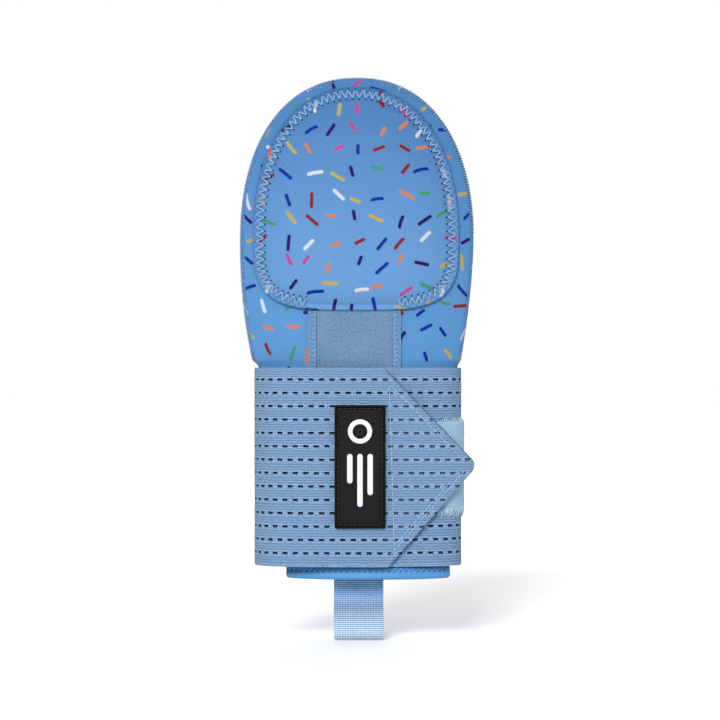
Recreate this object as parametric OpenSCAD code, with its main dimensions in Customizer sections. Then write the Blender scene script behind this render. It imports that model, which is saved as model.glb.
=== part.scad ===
// Padded sliding mitt with guard plates, a wrap-round wrist strap and a pull tab.
// Millimetres. +Z points to the fingertips, -Y is the back of the hand, +Y is the palm.
// Origin: the middle of the wrist opening, level with the lower edge of the cuff.

/* [Hand shell] */
// Height of the shell from the cuff's lower edge to the fingertips
shell_h = 259.5; // [235:0.5:300]
// Half of the shell's greatest width
shell_half_w = 60.6; // [57:0.2:75]
// Height at which the shell is widest
widest_z = 174; // [160:1:185]
// Half of the shell's depth, outside to middle
shell_half_d = 17; // [15.5:0.5:22]
// Thickness of the neoprene
shell_t = 3; // [2:0.25:3.5]
// Roundness of the fingertip arch, 2 for an ellipse
arch_n = 2.25; // [2:0.05:2.6]
// Thickness of the lining
lining_t = 1; // [0.6:0.1:1.4]
// Clearance between two plies of cloth
ply_gap = 0.3; // [0.2:0.05:0.4]

/* [Cuff] */
// Half-width of the shell at the wrist opening
cuff_half_w = 40.7; // [36:0.5:44]
// Sideways offset of the wrist opening from the shell's middle
cuff_shift = 5.8; // [0:0.2:7]
// Height of the cuff's bound edge
cuff_h = 6.6; // [4:0.2:6.6]
// Thickness of the cuff's binding
cuff_t = 1.2; // [0.8:0.1:1.4]

/* [Front pad] */
// Height of the pad's middle, where it is widest
pad_mid = 177; // [172:1:182]
// Margin of bare shell beside the pad
pad_side_gap = 7.6; // [7:0.2:16]
// Margin of bare shell above the pad
pad_top_gap = 5.8; // [5.6:0.2:16]
// Height of the stretch insert that shows between the strap and the pad
insert_show = 29.6; // [12:0.2:40]
// Rise of the padding under the cover
pad_rise = 5.2; // [4:0.2:8]
// Thickness of the cover
cover_t = 1.4; // [1:0.1:2]

/* [Palm pad] */
// Height of the palm pad's middle
palm_mid = 166; // [160:1:172]
// Margin of bare shell beside the palm pad
palm_side_gap = 13.6; // [8:0.2:20]
// Margin of bare shell above the palm pad
palm_top_gap = 21.5; // [7:0.5:30]
// Margin of bare shell between the strap and the palm pad
palm_strap_gap = 10; // [3:0.5:20]
// Rise of the palm padding
palm_rise = 4; // [3.5:0.1:6]
// Thickness of each guard plate
plate_t = 1.2; // [0.8:0.1:1.5]

/* [Stretch insert] */
// Left edge of the insert, from the middle
insert_left = 25; // [18:0.5:30]
// Right edge of the insert, from the middle
insert_right = 22.6; // [18:0.2:30]
// Thickness of the stretch cloth
insert_t = 0.8; // [0.5:0.1:1]
// Width of the binding along each side of the insert
binding_w = 4; // [3:0.25:5]
// Thickness of that binding
binding_t = 0.6; // [0.4:0.1:0.8]

/* [Wrist strap] */
// Height of the strap's lower edge above the cuff's lower edge
strap_z = 7; // [6.8:0.2:12]
// Width of the elastic
strap_w = 102; // [90:1:104]
// Thickness of the elastic
strap_t = 1.5; // [1:0.1:1.8]
// Half of the width round which the strap wraps, outside to outside
strap_half_w = 53.7; // [53:0.2:56]
// Height of the pointed tip's middle
tip_z = 58.9; // [55:0.5:61]
// Reach of the tip from the mitt's middle
tip_reach = 60.3; // [57:0.2:64]
// Radius of the tip's point
tip_r = 5; // [4.5:0.5:7]
// Line on which the tip lifts
tip_hinge_x = 15.8; // [15.4:0.2:22]
// Thickness of the hook patch
hook_t = 0.9; // [0.6:0.1:0.9]
// Thickness of the loop panel
loop_t = 1.2; // [0.8:0.1:1.2]
// Height of the loop panel
loop_h = 44; // [30:1:60]
// Height of the loop panel's lower edge
loop_z = 37.5; // [25:0.5:45]

/* [Rubber patch] */
// Width of the patch
patch_w = 26; // [20:0.5:26]
// Height of the patch
patch_h = 63; // [45:1:80]
// Thickness of the patch
patch_t = 2.2; // [1.6:0.1:3]
// Height of the patch's lower edge
patch_z = 27; // [15:1:35]

/* [Pull tab] */
// Width of the webbing
tab_w = 25.8; // [20:0.2:30]
// Thickness of the webbing
tab_t = 1.8; // [1.2:0.1:1.9]
// Length of the loop that hangs below the cuff
tab_len = 33; // [30:1:45]

/* [Hidden] */
$fn = 48;

front = -1;
back = 1;
thread_d = 0.7;
thread_lift = thread_d / 2 + 0.15;
pad_gap = 0.4;

seam_half = ply_gap / 2;
edge_d = shell_t + seam_half;
shell_z = cuff_t + ply_gap;
strap_top = strap_z + strap_w;
pad_half_w = shell_half_w - pad_side_gap;
pad_up = shell_h - pad_top_gap - pad_mid;
pad_down = pad_mid - strap_top - insert_show;
palm_half_w = shell_half_w - palm_side_gap;
palm_up = shell_h - palm_top_gap - palm_mid;
palm_down = palm_mid - strap_top - palm_strap_gap;

strap_shift = 0.5;
strap_in_w = strap_half_w - strap_t;
wrist_half_w = strap_in_w - ply_gap - 0.2;
knuckle_half_w = strap_half_w - 0.3;
ring_n = 3;
front_ring_d = shell_half_d + ply_gap + insert_t + ply_gap + binding_t + ply_gap;
back_ring_d = shell_half_d + 0.7;
lap_x = 8;
tip_in_d = front_ring_d + strap_t + hook_t + 3 * ply_gap + 0.4;
tip_in_w = 72;
patch_y = tip_in_d + strap_t + ply_gap;

blue = [0.38, 0.61, 0.86];
strap_blue = [0.40, 0.57, 0.75];
pale_blue = [0.65, 0.80, 0.90];

// ---- small maths ----
function mix(a, b, f) = a + (b - a) * f;
function clamp(f) = max(0, min(1, f));
function ease(f) = let (c = clamp(f)) c * c * (3 - 2 * c);
function arch(f, n) = pow(max(0, 1 - pow(clamp(abs(f)), n)), 1 / n);
function spread(f) = 0.5 - 0.5 * cos(180 * f);
function unit(v) = v / max(norm(v), 1e-9);
function spow(v, n) = sign(v) * pow(abs(v), 2 / n);

// ---- outline and depth of the hand shell ----
// Straight inside the cuff, then widening under the strap
cuff_end = cuff_h + 0.4;
flare_z = strap_top + ply_gap;
flare_h = 3;
function wrist_edge(z, s) = let (f = pow(clamp((z - cuff_end) / (strap_top - cuff_end)), 0.85))
    mix(cuff_shift + s * cuff_half_w, strap_shift + s * wrist_half_w, f);
function hand_edge(z, s) = z >= widest_z
    ? s * shell_half_w * arch((z - widest_z) / (shell_h - widest_z), arch_n)
    : s * mix(shell_half_w, knuckle_half_w, pow((widest_z - z) / (widest_z - strap_top), s < 0 ? 2.1 : 1.6));
function shell_edge(z, s) = mix(wrist_edge(z, s), hand_edge(max(z, strap_top), s),
                                clamp((z - flare_z) / flare_h));
function shell_r(x, z) = z > widest_z
    ? pow(pow(abs(x) / shell_half_w, arch_n) + pow((z - widest_z) / (shell_h - widest_z), arch_n), 1 / arch_n)
    : let (l = shell_edge(z, -1), r = shell_edge(z, 1)) abs(2 * x - l - r) / (r - l);
function lens(r) = pow(max(0, 1 - pow(clamp(r), 2.4)), 0.7);
function shell_y(x, z) = mix(edge_d, shell_half_d, lens(shell_r(x, z)));
shell_rows = concat([shell_z], [for (f = [0, 0.12, 0.33, 0.58, 0.8]) mix(cuff_end, flare_z, f)],
                    [flare_z, flare_z + flare_h],
                    [for (f = [0.3, 0.65]) mix(flare_z + flare_h, widest_z, f)],
                    [for (i = [0:9]) widest_z + (shell_h - widest_z) * 0.9985 * sin(10 * i)]);

// ---- a sheet of cloth: rows of points between two edges, each with a near and a far side ----
function flipped(faces, yes) = [for (f = faces) yes ? [f[2], f[1], f[0]] : f];
function halves(a, b, c, d) = [[a, b, c], [a, c, d]];
module sheet(rows, left, right, near, far, cols, side) {
    m = len(rows) - 1;
    spot = function (j, i) let (z = rows[j]) [mix(left(z), right(z), spread(i / cols)), z];
    layer = function (depth) [for (j = [0:m], i = [0:cols]) let (p = spot(j, i)) [p[0], side * depth(p[0], p[1]), p[1]]];
    n_ = function (j, i) j * (cols + 1) + i;
    f_ = function (j, i) (m + 1) * (cols + 1) + n_(j, i);
    faces = [
        for (j = [0:m - 1], i = [0:cols - 1]) each halves(f_(j, i), f_(j + 1, i), f_(j + 1, i + 1), f_(j, i + 1)),
        for (j = [0:m - 1], i = [0:cols - 1]) each halves(n_(j, i), n_(j, i + 1), n_(j + 1, i + 1), n_(j + 1, i)),
        for (i = [0:cols - 1]) each halves(f_(0, i), f_(0, i + 1), n_(0, i + 1), n_(0, i)),
        for (i = [0:cols - 1]) each halves(f_(m, i + 1), f_(m, i), n_(m, i), n_(m, i + 1)),
        for (j = [0:m - 1]) each halves(f_(j + 1, 0), f_(j, 0), n_(j, 0), n_(j + 1, 0)),
        for (j = [0:m - 1]) each halves(f_(j, cols), f_(j + 1, cols), n_(j + 1, cols), n_(j, cols))];
    polyhedron(concat(layer(near), layer(far)), flipped(faces, side > 0), convexity = 6);
}

// ---- sewing thread swept along a line of points on a face that looks along `out` ----
function bend_at(path, i, out, closed) = let (
    n = len(path),
    before = closed ? path[(i + n - 1) % n] : path[max(i - 1, 0)],
    after = closed ? path[(i + 1) % n] : path[min(i + 1, n - 1)],
    b0 = unit(cross(unit(path[i] - before), out)),
    b1 = unit(cross(unit(after - path[i]), out)),
    first = norm(path[i] - before) < 1e-6 ? b1 : b0,
    last = norm(after - path[i]) < 1e-6 ? b0 : b1,
    m = unit(first + last))
    m / max(0.5, m * first);
module thread(path, out, closed = false, d = thread_d) {
    n = len(path);
    r = d / 2;
    points = [for (i = [0:n - 1]) let (b = bend_at(path, i, out, closed) * r, u = out * r)
              each [path[i] + u, path[i] + b, path[i] - u, path[i] - b]];
    last = closed ? n - 1 : n - 2;
    sides = [for (i = [0:last], k = [0:3]) let (a = 4 * i, c = 4 * ((i + 1) % n), q = (k + 1) % 4)
             each halves(a + k, c + k, c + q, a + q)];
    ends = closed ? [] : concat(halves(0, 1, 2, 3), halves(4 * n - 1, 4 * n - 2, 4 * n - 3, 4 * n - 4));
    polyhedron(points, concat(sides, ends), convexity = 10);
}

// ---- pads: [middle x, half width, middle z, reach down, reach up, squareness down, up] ----
front_pad = [-0.5, pad_half_w, pad_mid, pad_down, pad_up, 3.6, 2.2];
palm_pad = [0, palm_half_w, palm_mid, palm_down, palm_up, 3.0, 2.2];
pad_rim = 0.88;
core_size = 0.78;
function pad_n(p, z) = z < p[2] ? p[5] : p[6];
function pad_reach(p, z) = z < p[2] ? p[3] : p[4];
function pad_edge(p, z, s, size) =
    p[0] + s * p[1] * size * arch((z - p[2]) / (pad_reach(p, z) * size), pad_n(p, z));
function pad_r(p, x, z) = let (n = pad_n(p, z))
    pow(pow(abs(x - p[0]) / p[1], n) + pow(abs(z - p[2]) / pad_reach(p, z), n), 1 / n);
function crown(r) = r < pad_rim ? pow(1 - pow(r / pad_rim, 4), 0.7) : 0;
function pad_rows(p, size, k) = [for (i = [-k:k]) let (f = size * 0.995 * sin(90 * abs(i) / k))
                                 i < 0 ? p[2] - p[3] * f : p[2] + p[4] * f];
module pad_layer(p, side, size, near, far, cols, k) {
    sheet(pad_rows(p, size, k), function (z) pad_edge(p, z, -1, size), function (z) pad_edge(p, z, 1, size),
          function (x, z) shell_y(x, z) + near(pad_r(p, x, z)),
          function (x, z) shell_y(x, z) + far(pad_r(p, x, z)), cols, side);
}
module pad_cover(p, side, rise) {
    pad_layer(p, side, 1, function (r) pad_gap + rise * crown(r),
              function (r) pad_gap + cover_t + rise * crown(r), 16, 7);
}
module pad_foam(p, side, rise) {
    pad_layer(p, side, core_size, function (r) plate_t + 2 * pad_gap, function (r) rise * crown(r), 12, 5);
}
module guard_plate(p, side) {
    pad_layer(p, side, core_size, function (r) pad_gap, function (r) pad_gap + plate_t, 10, 5);
}
// A zigzag seam that follows the pad's edge, from angle a0 to a1 about its middle
module pad_seam(p, side, a0, a1, teeth) {
    sew = function (i) let (
        a = mix(a0, a1, i / (2 * teeth)),
        z_way = sin(a) < 0 ? p[3] : p[4],
        n = sin(a) < 0 ? p[5] : p[6],
        size = i % 2 == 0 ? 0.965 : 0.9,
        x = p[0] + p[1] * size * spow(cos(a), n),
        z = p[2] + z_way * size * spow(sin(a), n))
        [x, side * (shell_y(x, z) + pad_gap + cover_t + thread_lift + 0.35), z];
    thread([for (i = [0:2 * teeth]) sew(i)], [0, side, 0]);
}

// ---- strap: a ring of cloth round the wrist; t = 0 right, 90 palm, 180 left, 270 back of hand ----
function ring_at(t, o) = [strap_shift + (strap_in_w + o) * spow(cos(t), ring_n),
                          ((sin(t) > 0 ? back_ring_d : front_ring_d) + o) * spow(sin(t), ring_n)];
function band(t0, t1, lift, thick, steps) = concat(
    [for (i = [0:steps]) let (t = mix(t0, t1, i / steps)) ring_at(t, lift(t))],
    [for (i = [steps:-1:0]) let (t = mix(t0, t1, i / steps)) ring_at(t, lift(t) + thick)]);
function ring_angle(x, o = 0) = acos(pow(clamp(abs(x - strap_shift) / (strap_in_w + o)), ring_n / 2));
function tip_depth(x) = tip_in_d * arch(x / tip_in_w, ring_n);
flap_rise = tip_in_d - front_ring_d;
function flap_lift(t) = flap_rise * ease((t - 190) / 50);
flap_end_angle = ring_angle(tip_hinge_x - 0.3, flap_rise + strap_t);

// Outline of the pointed end, from a straight cut at x0 to the rounded point
tip_up = 44;
tip_low = -41.5;
function tip_cut(x0, inset, a) = let (
    r = tip_r - inset,
    p = [tip_reach - tip_r + r * cos(a), tip_z + r * sin(a)],
    run = (p[0] - x0) / abs(sin(a)))
    [x0, p[1] + sign(a) * run * cos(a)];
function tip_outline(x0, inset) = concat([tip_cut(x0, inset, tip_low)],
    [for (i = [0:8]) let (a = mix(tip_low, tip_up, i / 8), r = tip_r - inset)
     [tip_reach - tip_r + r * cos(a), tip_z + r * sin(a)]],
    [tip_cut(x0, inset, tip_up)]);
module tip_prism(x0, inset) {
    translate([0, 60, 0]) rotate([90, 0, 0]) linear_extrude(120) polygon(tip_outline(x0, inset));
}
function tip_band(x0, x1, near, thick, steps) = concat(
    [for (i = [0:steps]) let (x = mix(x0, x1, i / steps)) [x, -tip_depth(x) - near]],
    [for (i = [steps:-1:0]) let (x = mix(x0, x1, i / steps)) [x, -tip_depth(x) - near - thick]]);

// ---- cuff: rings of the wrist opening's section; i runs anticlockwise from the right ----
cuff_steps = 36;
function cuff_y(u) = mix(edge_d, shell_half_d, lens(u));
function outer_cuff(i, o) = let (a = 360 * (i + 0.5) / cuff_steps, s = sin(a) > 0 ? back : front)
    [cuff_shift + (cuff_half_w + o) * cos(a), s * (cuff_y(abs(cos(a))) + o)];
cuff_side = 8;
cuff_inner_t = 0.8;
function inner_cuff(i, o) = let (a = 360 * (i + 0.5) / cuff_steps, s = sin(a) > 0 ? back : front,
                                 x = (cuff_half_w - cuff_side + o) * cos(a))
    [cuff_shift + x, s * (cuff_y(abs(x) / cuff_half_w) - shell_t - lining_t - 2 * ply_gap + o)];

// ==== sub-parts ====
module front_shell() {
    color(blue) sheet(shell_rows, function (z) shell_edge(z, -1), function (z) shell_edge(z, 1),
        function (x, z) shell_y(x, z) - shell_t, function (x, z) shell_y(x, z), 16, front);
}

module palm_shell() {
    color(blue) sheet(shell_rows, function (z) shell_edge(z, -1), function (z) shell_edge(z, 1),
        function (x, z) shell_y(x, z) - shell_t, function (x, z) shell_y(x, z), 16, back);
}

lining_inset = 0.9;
lining_rows = [for (z = shell_rows) if (z < widest_z + (shell_h - widest_z) * lining_inset) z];
function lining_edge(z, s) = let (l = shell_edge(z, -1), r = shell_edge(z, 1), mid = (l + r) / 2,
    reach = z < widest_z ? (r - l) / 2 * lining_inset
          : shell_half_w * lining_inset * arch((z - widest_z) / ((shell_h - widest_z) * lining_inset), arch_n))
    mid + s * reach;
module lining(side) {
    sheet(lining_rows, function (z) lining_edge(z, -1), function (z) lining_edge(z, 1),
        function (x, z) shell_y(x, z) - shell_t - ply_gap - lining_t,
        function (x, z) shell_y(x, z) - shell_t - ply_gap, 12, side);
}
module front_lining() { color("lightsteelblue") lining(front); }
module palm_lining() { color("lightsteelblue") lining(back); }

insert_top = pad_mid - pad_down - ply_gap;
insert_rows = concat([cuff_h + 1], [for (z = shell_rows) if (z > cuff_h + 2 && z < insert_top - 2) z],
                     [insert_top]);
module on_shell(x0, x1, near, thick, cols) {
    sheet(insert_rows, function (z) x0, function (z) x1, function (x, z) shell_y(x, z) + near,
        function (x, z) shell_y(x, z) + near + thick, cols, front);
}
module stretch_insert() { color("slategray") on_shell(-insert_left, insert_right, ply_gap, insert_t, 8); }
binding_near = ply_gap + insert_t + ply_gap;
module insert_binding_left() {
    color(pale_blue) on_shell(-insert_left, binding_w - insert_left, binding_near, binding_t, 2);
}
module insert_binding_right() {
    color(pale_blue) on_shell(insert_right - binding_w, insert_right, binding_near, binding_t, 2);
}

module front_pad_cover() { color(blue) pad_cover(front_pad, front, pad_rise); }
module front_pad_foam() { color("khaki") pad_foam(front_pad, front, pad_rise); }
module front_guard_plate() { color("dimgray") guard_plate(front_pad, front); }
module palm_pad_cover() { color(blue) pad_cover(palm_pad, back, palm_rise); }
module palm_pad_foam() { color("khaki") pad_foam(palm_pad, back, palm_rise); }
module palm_guard_plate() { color("dimgray") guard_plate(palm_pad, back); }

// The seam leaves the middle of the front pad's lower edge open
module front_pad_stitching() { color(pale_blue) pad_seam(front_pad, front, -61, 241, 56); }
module palm_pad_stitching() { color(pale_blue) pad_seam(palm_pad, back, -90, 268, 52); }

// Overlocked edge that joins the two shells, from above the strap, over the fingertips, to the thumb side
overlock_t = 0.6;
overlock_in = 2.6;
overlock_end_z = 176;
function edge_spot(f) = let (
    z_low = strap_top + 4,
    left_part = 0.25,
    up_end = asin((overlock_end_z - widest_z) / (shell_h - widest_z)),
    a = f < left_part ? 180 : mix(180, up_end, (f - left_part) / (1 - left_part)))
    f < left_part ? let (z = mix(z_low, widest_z, f / left_part)) [shell_edge(z, -1), z]
                  : [shell_half_w * spow(cos(a), arch_n),
                     widest_z + (shell_h - widest_z) * spow(sin(a), arch_n)];
module edge_stitching() {
    n = 44;
    step = 0.004;
    station = function (i) let (
        f = i / n,
        p = edge_spot(f),
        way = unit(edge_spot(min(1, f + step)) - edge_spot(max(0, f - step))),
        out = [-way[1], way[0]],
        deep = p - out * overlock_in,
        y_in = shell_y(deep[0], deep[1]) + 0.5,
        y_edge = edge_d + 0.5,
        rim = p + out * 0.35,
        rim_out = p + out * (0.35 + overlock_t))
        [[deep[0], y_in + overlock_t, deep[1]], [rim_out[0], y_edge + overlock_t, rim_out[1]],
         [rim_out[0], -y_edge - overlock_t, rim_out[1]], [deep[0], -y_in - overlock_t, deep[1]],
         [deep[0], -y_in, deep[1]], [rim[0], -y_edge, rim[1]], [rim[0], y_edge, rim[1]],
         [deep[0], y_in, deep[1]]];
    points = [for (i = [0:n]) each station(i)];
    sides = [for (i = [0:n - 1], k = [0:7]) let (a = 8 * i, c = 8 * (i + 1), q = (k + 1) % 8)
             each halves(a + k, a + q, c + q, c + k)];
    cap = [[0, 7, 1], [7, 6, 1], [1, 6, 2], [6, 5, 2], [2, 5, 3], [5, 4, 3]];
    tail = [for (t = cap) [t[2] + 8 * n, t[1] + 8 * n, t[0] + 8 * n]];
    color(blue) polyhedron(points, concat(sides, cap, tail), convexity = 10);
}

// The cuff's binding folds round the lower edge of both shells and the lining
module cuff_binding() {
    in_top = cuff_h - 1;
    rings = [[0, ply_gap + cuff_t, 0], [0, ply_gap + cuff_t, cuff_h], [0, ply_gap, cuff_h], [0, ply_gap, cuff_t],
             [1, 0, cuff_t], [1, 0, in_top], [1, -cuff_inner_t, in_top], [1, -cuff_inner_t, 0]];
    points = [for (r = rings, i = [0:cuff_steps - 1])
              let (p = r[0] == 0 ? outer_cuff(i, r[1]) : inner_cuff(i, r[1])) [p[0], p[1], r[2]]];
    faces = [for (r = [0:7], i = [0:cuff_steps - 1])
             let (a = r * cuff_steps, b = ((r + 1) % 8) * cuff_steps, j = (i + 1) % cuff_steps)
             each halves(a + i, b + i, b + j, a + j)];
    color("cornflowerblue") polyhedron(points, faces, convexity = 10);
}

module cuff_stitching() {
    low = 0.25;
    high = 0.8;
    half = cuff_steps / 2;
    lift = ply_gap + cuff_t + thread_lift + 0.1;
    run = function (first) [for (k = [0:2 * half - 4]) let (
        i = first + 1 + k / 2, p = outer_cuff(i, lift), q = outer_cuff(floor(i), lift), s = outer_cuff(ceil(i), lift),
        m = (q + s) / 2)
        [m[0], m[1], cuff_h * (k % 2 == 0 ? low : high)]];
    color(pale_blue) {
        thread(run(0), [0, 1, 0]);
        thread(run(half), [0, -1, 0]);
    }
}

module wrist_strap() {
    t0 = -ring_angle(lap_x);
    color(strap_blue) translate([0, 0, strap_z]) linear_extrude(strap_w)
        polygon(band(t0, 179.96, function (t) 0, strap_t, 72));
}

// Boxed seam that fastens the strap to the palm shell
module strap_anchor_stitching() {
    w = 14;
    z0 = strap_z + 8;
    z1 = strap_top - 8;
    spot = function (x, z) [x, (back_ring_d + strap_t) * arch((x - strap_shift) / strap_half_w, ring_n)
                            + thread_lift, z];
    color("white") {
        thread([spot(-w, z0), spot(-w, z1), spot(w, z1), spot(w, z0)], [0, 1, 0], true);
        for (x = [-w + 3, w - 3]) thread([spot(x, z0 + 3), spot(x, z1 - 3)], [0, 1, 0]);
    }
}

// Soft loop cloth on the strap, where the hooks of the tip hold
loop_t0 = -ring_angle(39);
loop_t1 = 40;
module loop_panel() {
    color(pale_blue) translate([0, 0, loop_z]) linear_extrude(loop_h)
        polygon(band(loop_t0, loop_t1, function (t) strap_t + ply_gap, loop_t, 24));
}
module loop_panel_stitching() {
    n = 26;
    seam = function (z, s) [for (i = [0:n]) let (p = ring_at(mix(loop_t0 + 4, -4, i / n), strap_t + ply_gap + loop_t
                            + thread_lift + 0.05)) [p[0], p[1], z + (i % 2 == 0 ? 0 : s)]];
    color("white") {
        thread(seam(loop_z + 1.2, 2.6), [0.5, -0.85, 0], d = 0.5);
        thread(seam(loop_z + loop_h - 1.2, -2.6), [0.5, -0.85, 0], d = 0.5);
    }
}

module strap_flap() {
    color(strap_blue) intersection() {
        translate([0, 0, strap_z]) linear_extrude(strap_w)
            polygon(band(180.1, 360 - flap_end_angle, function (t) flap_lift(t), strap_t, 30));
        tip_prism(-80, 0);
    }
}

patch_x = tip_hinge_x - 1.2 - patch_w / 2;
module rounded_slab(w, h, r, y0, y1) {
    translate([0, -y0, 0]) rotate([90, 0, 0]) linear_extrude(y1 - y0) union() {
        square([w, h - 2 * r], center = true);
        square([w - 2 * r, h], center = true);
        for (i = [-1, 1], j = [-1, 1]) translate([i * (w / 2 - r), j * (h / 2 - r)]) circle(r);
    }
}
rim_w = 1.3;
field_drop = 0.7;
module rubber_patch() {
    color([0.08, 0.08, 0.09]) translate([patch_x, 0, patch_z + patch_h / 2]) difference() {
        rounded_slab(patch_w, patch_h, 1.6, patch_y, patch_y + patch_t);
        rounded_slab(patch_w - 2 * rim_w, patch_h - 2 * rim_w, 0.8, patch_y + patch_t - field_drop, patch_y + 5);
    }
}
// A plain ring over three bars, raised from the patch
module patch_emblem() {
    y0 = patch_y + patch_t - field_drop;
    y1 = y0 + 0.6;
    bars = [[-5.2, 15], [0, 27], [5.2, 21]];
    color("white") translate([patch_x, 0, patch_z]) {
        translate([0, -y0, patch_h - 13.5]) rotate([90, 0, 0]) difference() {
            cylinder(r = 6.2, h = y1 - y0);
            translate([0, 0, -1]) cylinder(r = 3.8, h = 3);
        }
        for (b = bars) translate([b[0], 0, 38 - b[1] / 2]) rounded_slab(2.8, b[1], 1.3, y0, y1);
    }
}
module patch_stitching() {
    x = patch_w / 2 - rim_w - 1;
    z = patch_h / 2 - rim_w - 1;
    y = -(patch_y + patch_t - field_drop + 0.35);
    color("black") translate([patch_x, 0, patch_z + patch_h / 2])
        thread([[-x, y, -z], [-x, y, z], [x, y, z], [x, y, -z]], [0, -1, 0], true, d = 0.5);
}

module strap_tip() {
    color(strap_blue) intersection() {
        translate([0, 0, strap_z]) linear_extrude(strap_w)
            polygon(tip_band(tip_hinge_x + 0.2, tip_reach + 1, 0, strap_t, 14));
        tip_prism(tip_hinge_x + 0.2, 0);
    }
}
module hook_patch() {
    near = -ply_gap - hook_t;
    color("steelblue") intersection() {
        translate([0, 0, strap_z]) linear_extrude(strap_w)
            polygon(tip_band(19, 50, near, hook_t, 10));
        tip_prism(19, 3.6);
    }
}
// Seams that hold the hook patch: one upright, two along the sloping edges
module tip_stitching() {
    inset = 3.4;
    on_tip = function (p) [p[0], -tip_depth(p[0]) - strap_t - thread_lift - 0.05, p[1]];
    low = tip_cut(19.5, inset, tip_low);
    high = tip_cut(19.5, inset, tip_up);
    point = [tip_reach - tip_r + tip_r - inset, tip_z];
    sloped = function (end) [for (i = [0:6]) on_tip(mix(end, point + [-0.6, sign(end[1] - tip_z) * 1.2], i / 6))];
    color("white") {
        thread([on_tip(low + [-1, 1]), on_tip(high - [1, 1])], [0, -1, 0]);
        thread(sloped(low), [0, -1, 0]);
        thread(sloped(high), [0, -1, 0]);
    }
}

// ---- pull tab: webbing folded into a loop, its tails sewn inside the palm side of the cuff ----
tab_x = 0.9 - tab_w / 2;
// The tab's tails lie against the inner face of the cuff's binding
function cuff_inner_y(x) = cuff_y(abs(x - cuff_shift) / cuff_half_w) - shell_t - lining_t
    - 2 * ply_gap - cuff_inner_t;
tab_y = min(cuff_inner_y(tab_x), cuff_inner_y(tab_x + tab_w)) - ply_gap - tab_t;
tab_hinge_z = -tab_t - 0.4;
tab_gap_r = 4.5;
tail_up = 15;
module tab_anchor() {
    color("cornflowerblue") translate([tab_x, tab_y - tab_t, -0.1]) cube([tab_w, 2 * tab_t, tail_up]);
}
module tab_anchor_stitching() {
    y = tab_y - tab_t - thread_lift;
    x0 = tab_x + 3;
    x1 = tab_x + tab_w - 3;
    color("white") for (z = [6.5, 11.5]) thread([[x0, y, z], [x1, y, z]], [0, -1, 0]);
}
// Teardrop section: a round fold at the bottom that narrows to the hinge line
module drop_shape(r, top_r, low) {
    z_c = -tab_len + low;
    run = tab_hinge_z - z_c;
    lean = asin((r - top_r) / run);
    circle_pts = function (y, z, rad, a0, a1) [for (i = [0:10]) let (a = mix(a0, a1, i / 10))
                                               [y + rad * cos(a), z + rad * sin(a)]];
    polygon(concat(circle_pts(tab_y, z_c, r, -180 - lean, lean),
                   circle_pts(tab_y, tab_hinge_z, top_r, lean, 180 - lean)));
}
module pull_tab() {
    color("lightsteelblue") translate([tab_x, 0, 0]) rotate([90, 0, 90]) linear_extrude(tab_w) difference() {
        drop_shape(tab_gap_r + tab_t, tab_t, tab_gap_r + tab_t);
        drop_shape_inner();
    }
}
module drop_shape_inner() {
    z_c = -tab_len + tab_gap_r + tab_t;
    apex = tab_hinge_z - 4;
    a_t = acos(tab_gap_r / (apex - z_c));
    polygon(concat([for (i = [0:16]) let (a = mix(90 + a_t, 450 - a_t, i / 16))
                    [tab_y + tab_gap_r * cos(a), z_c + tab_gap_r * sin(a)]], [[tab_y, apex]]));
}

front_shell();
palm_shell();
front_lining();
palm_lining();
stretch_insert();
insert_binding_left();
insert_binding_right();
front_pad_cover();
front_pad_foam();
front_guard_plate();
palm_pad_cover();
palm_pad_foam();
palm_guard_plate();
front_pad_stitching();
palm_pad_stitching();
edge_stitching();
cuff_binding();
cuff_stitching();
wrist_strap();
strap_anchor_stitching();
loop_panel();
loop_panel_stitching();
tab_anchor();
tab_anchor_stitching();
strap_flap();
rubber_patch();
patch_emblem();
patch_stitching();
strap_tip();
hook_patch();
tip_stitching();
pull_tab();
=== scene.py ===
import math
from collections import namedtuple

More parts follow.
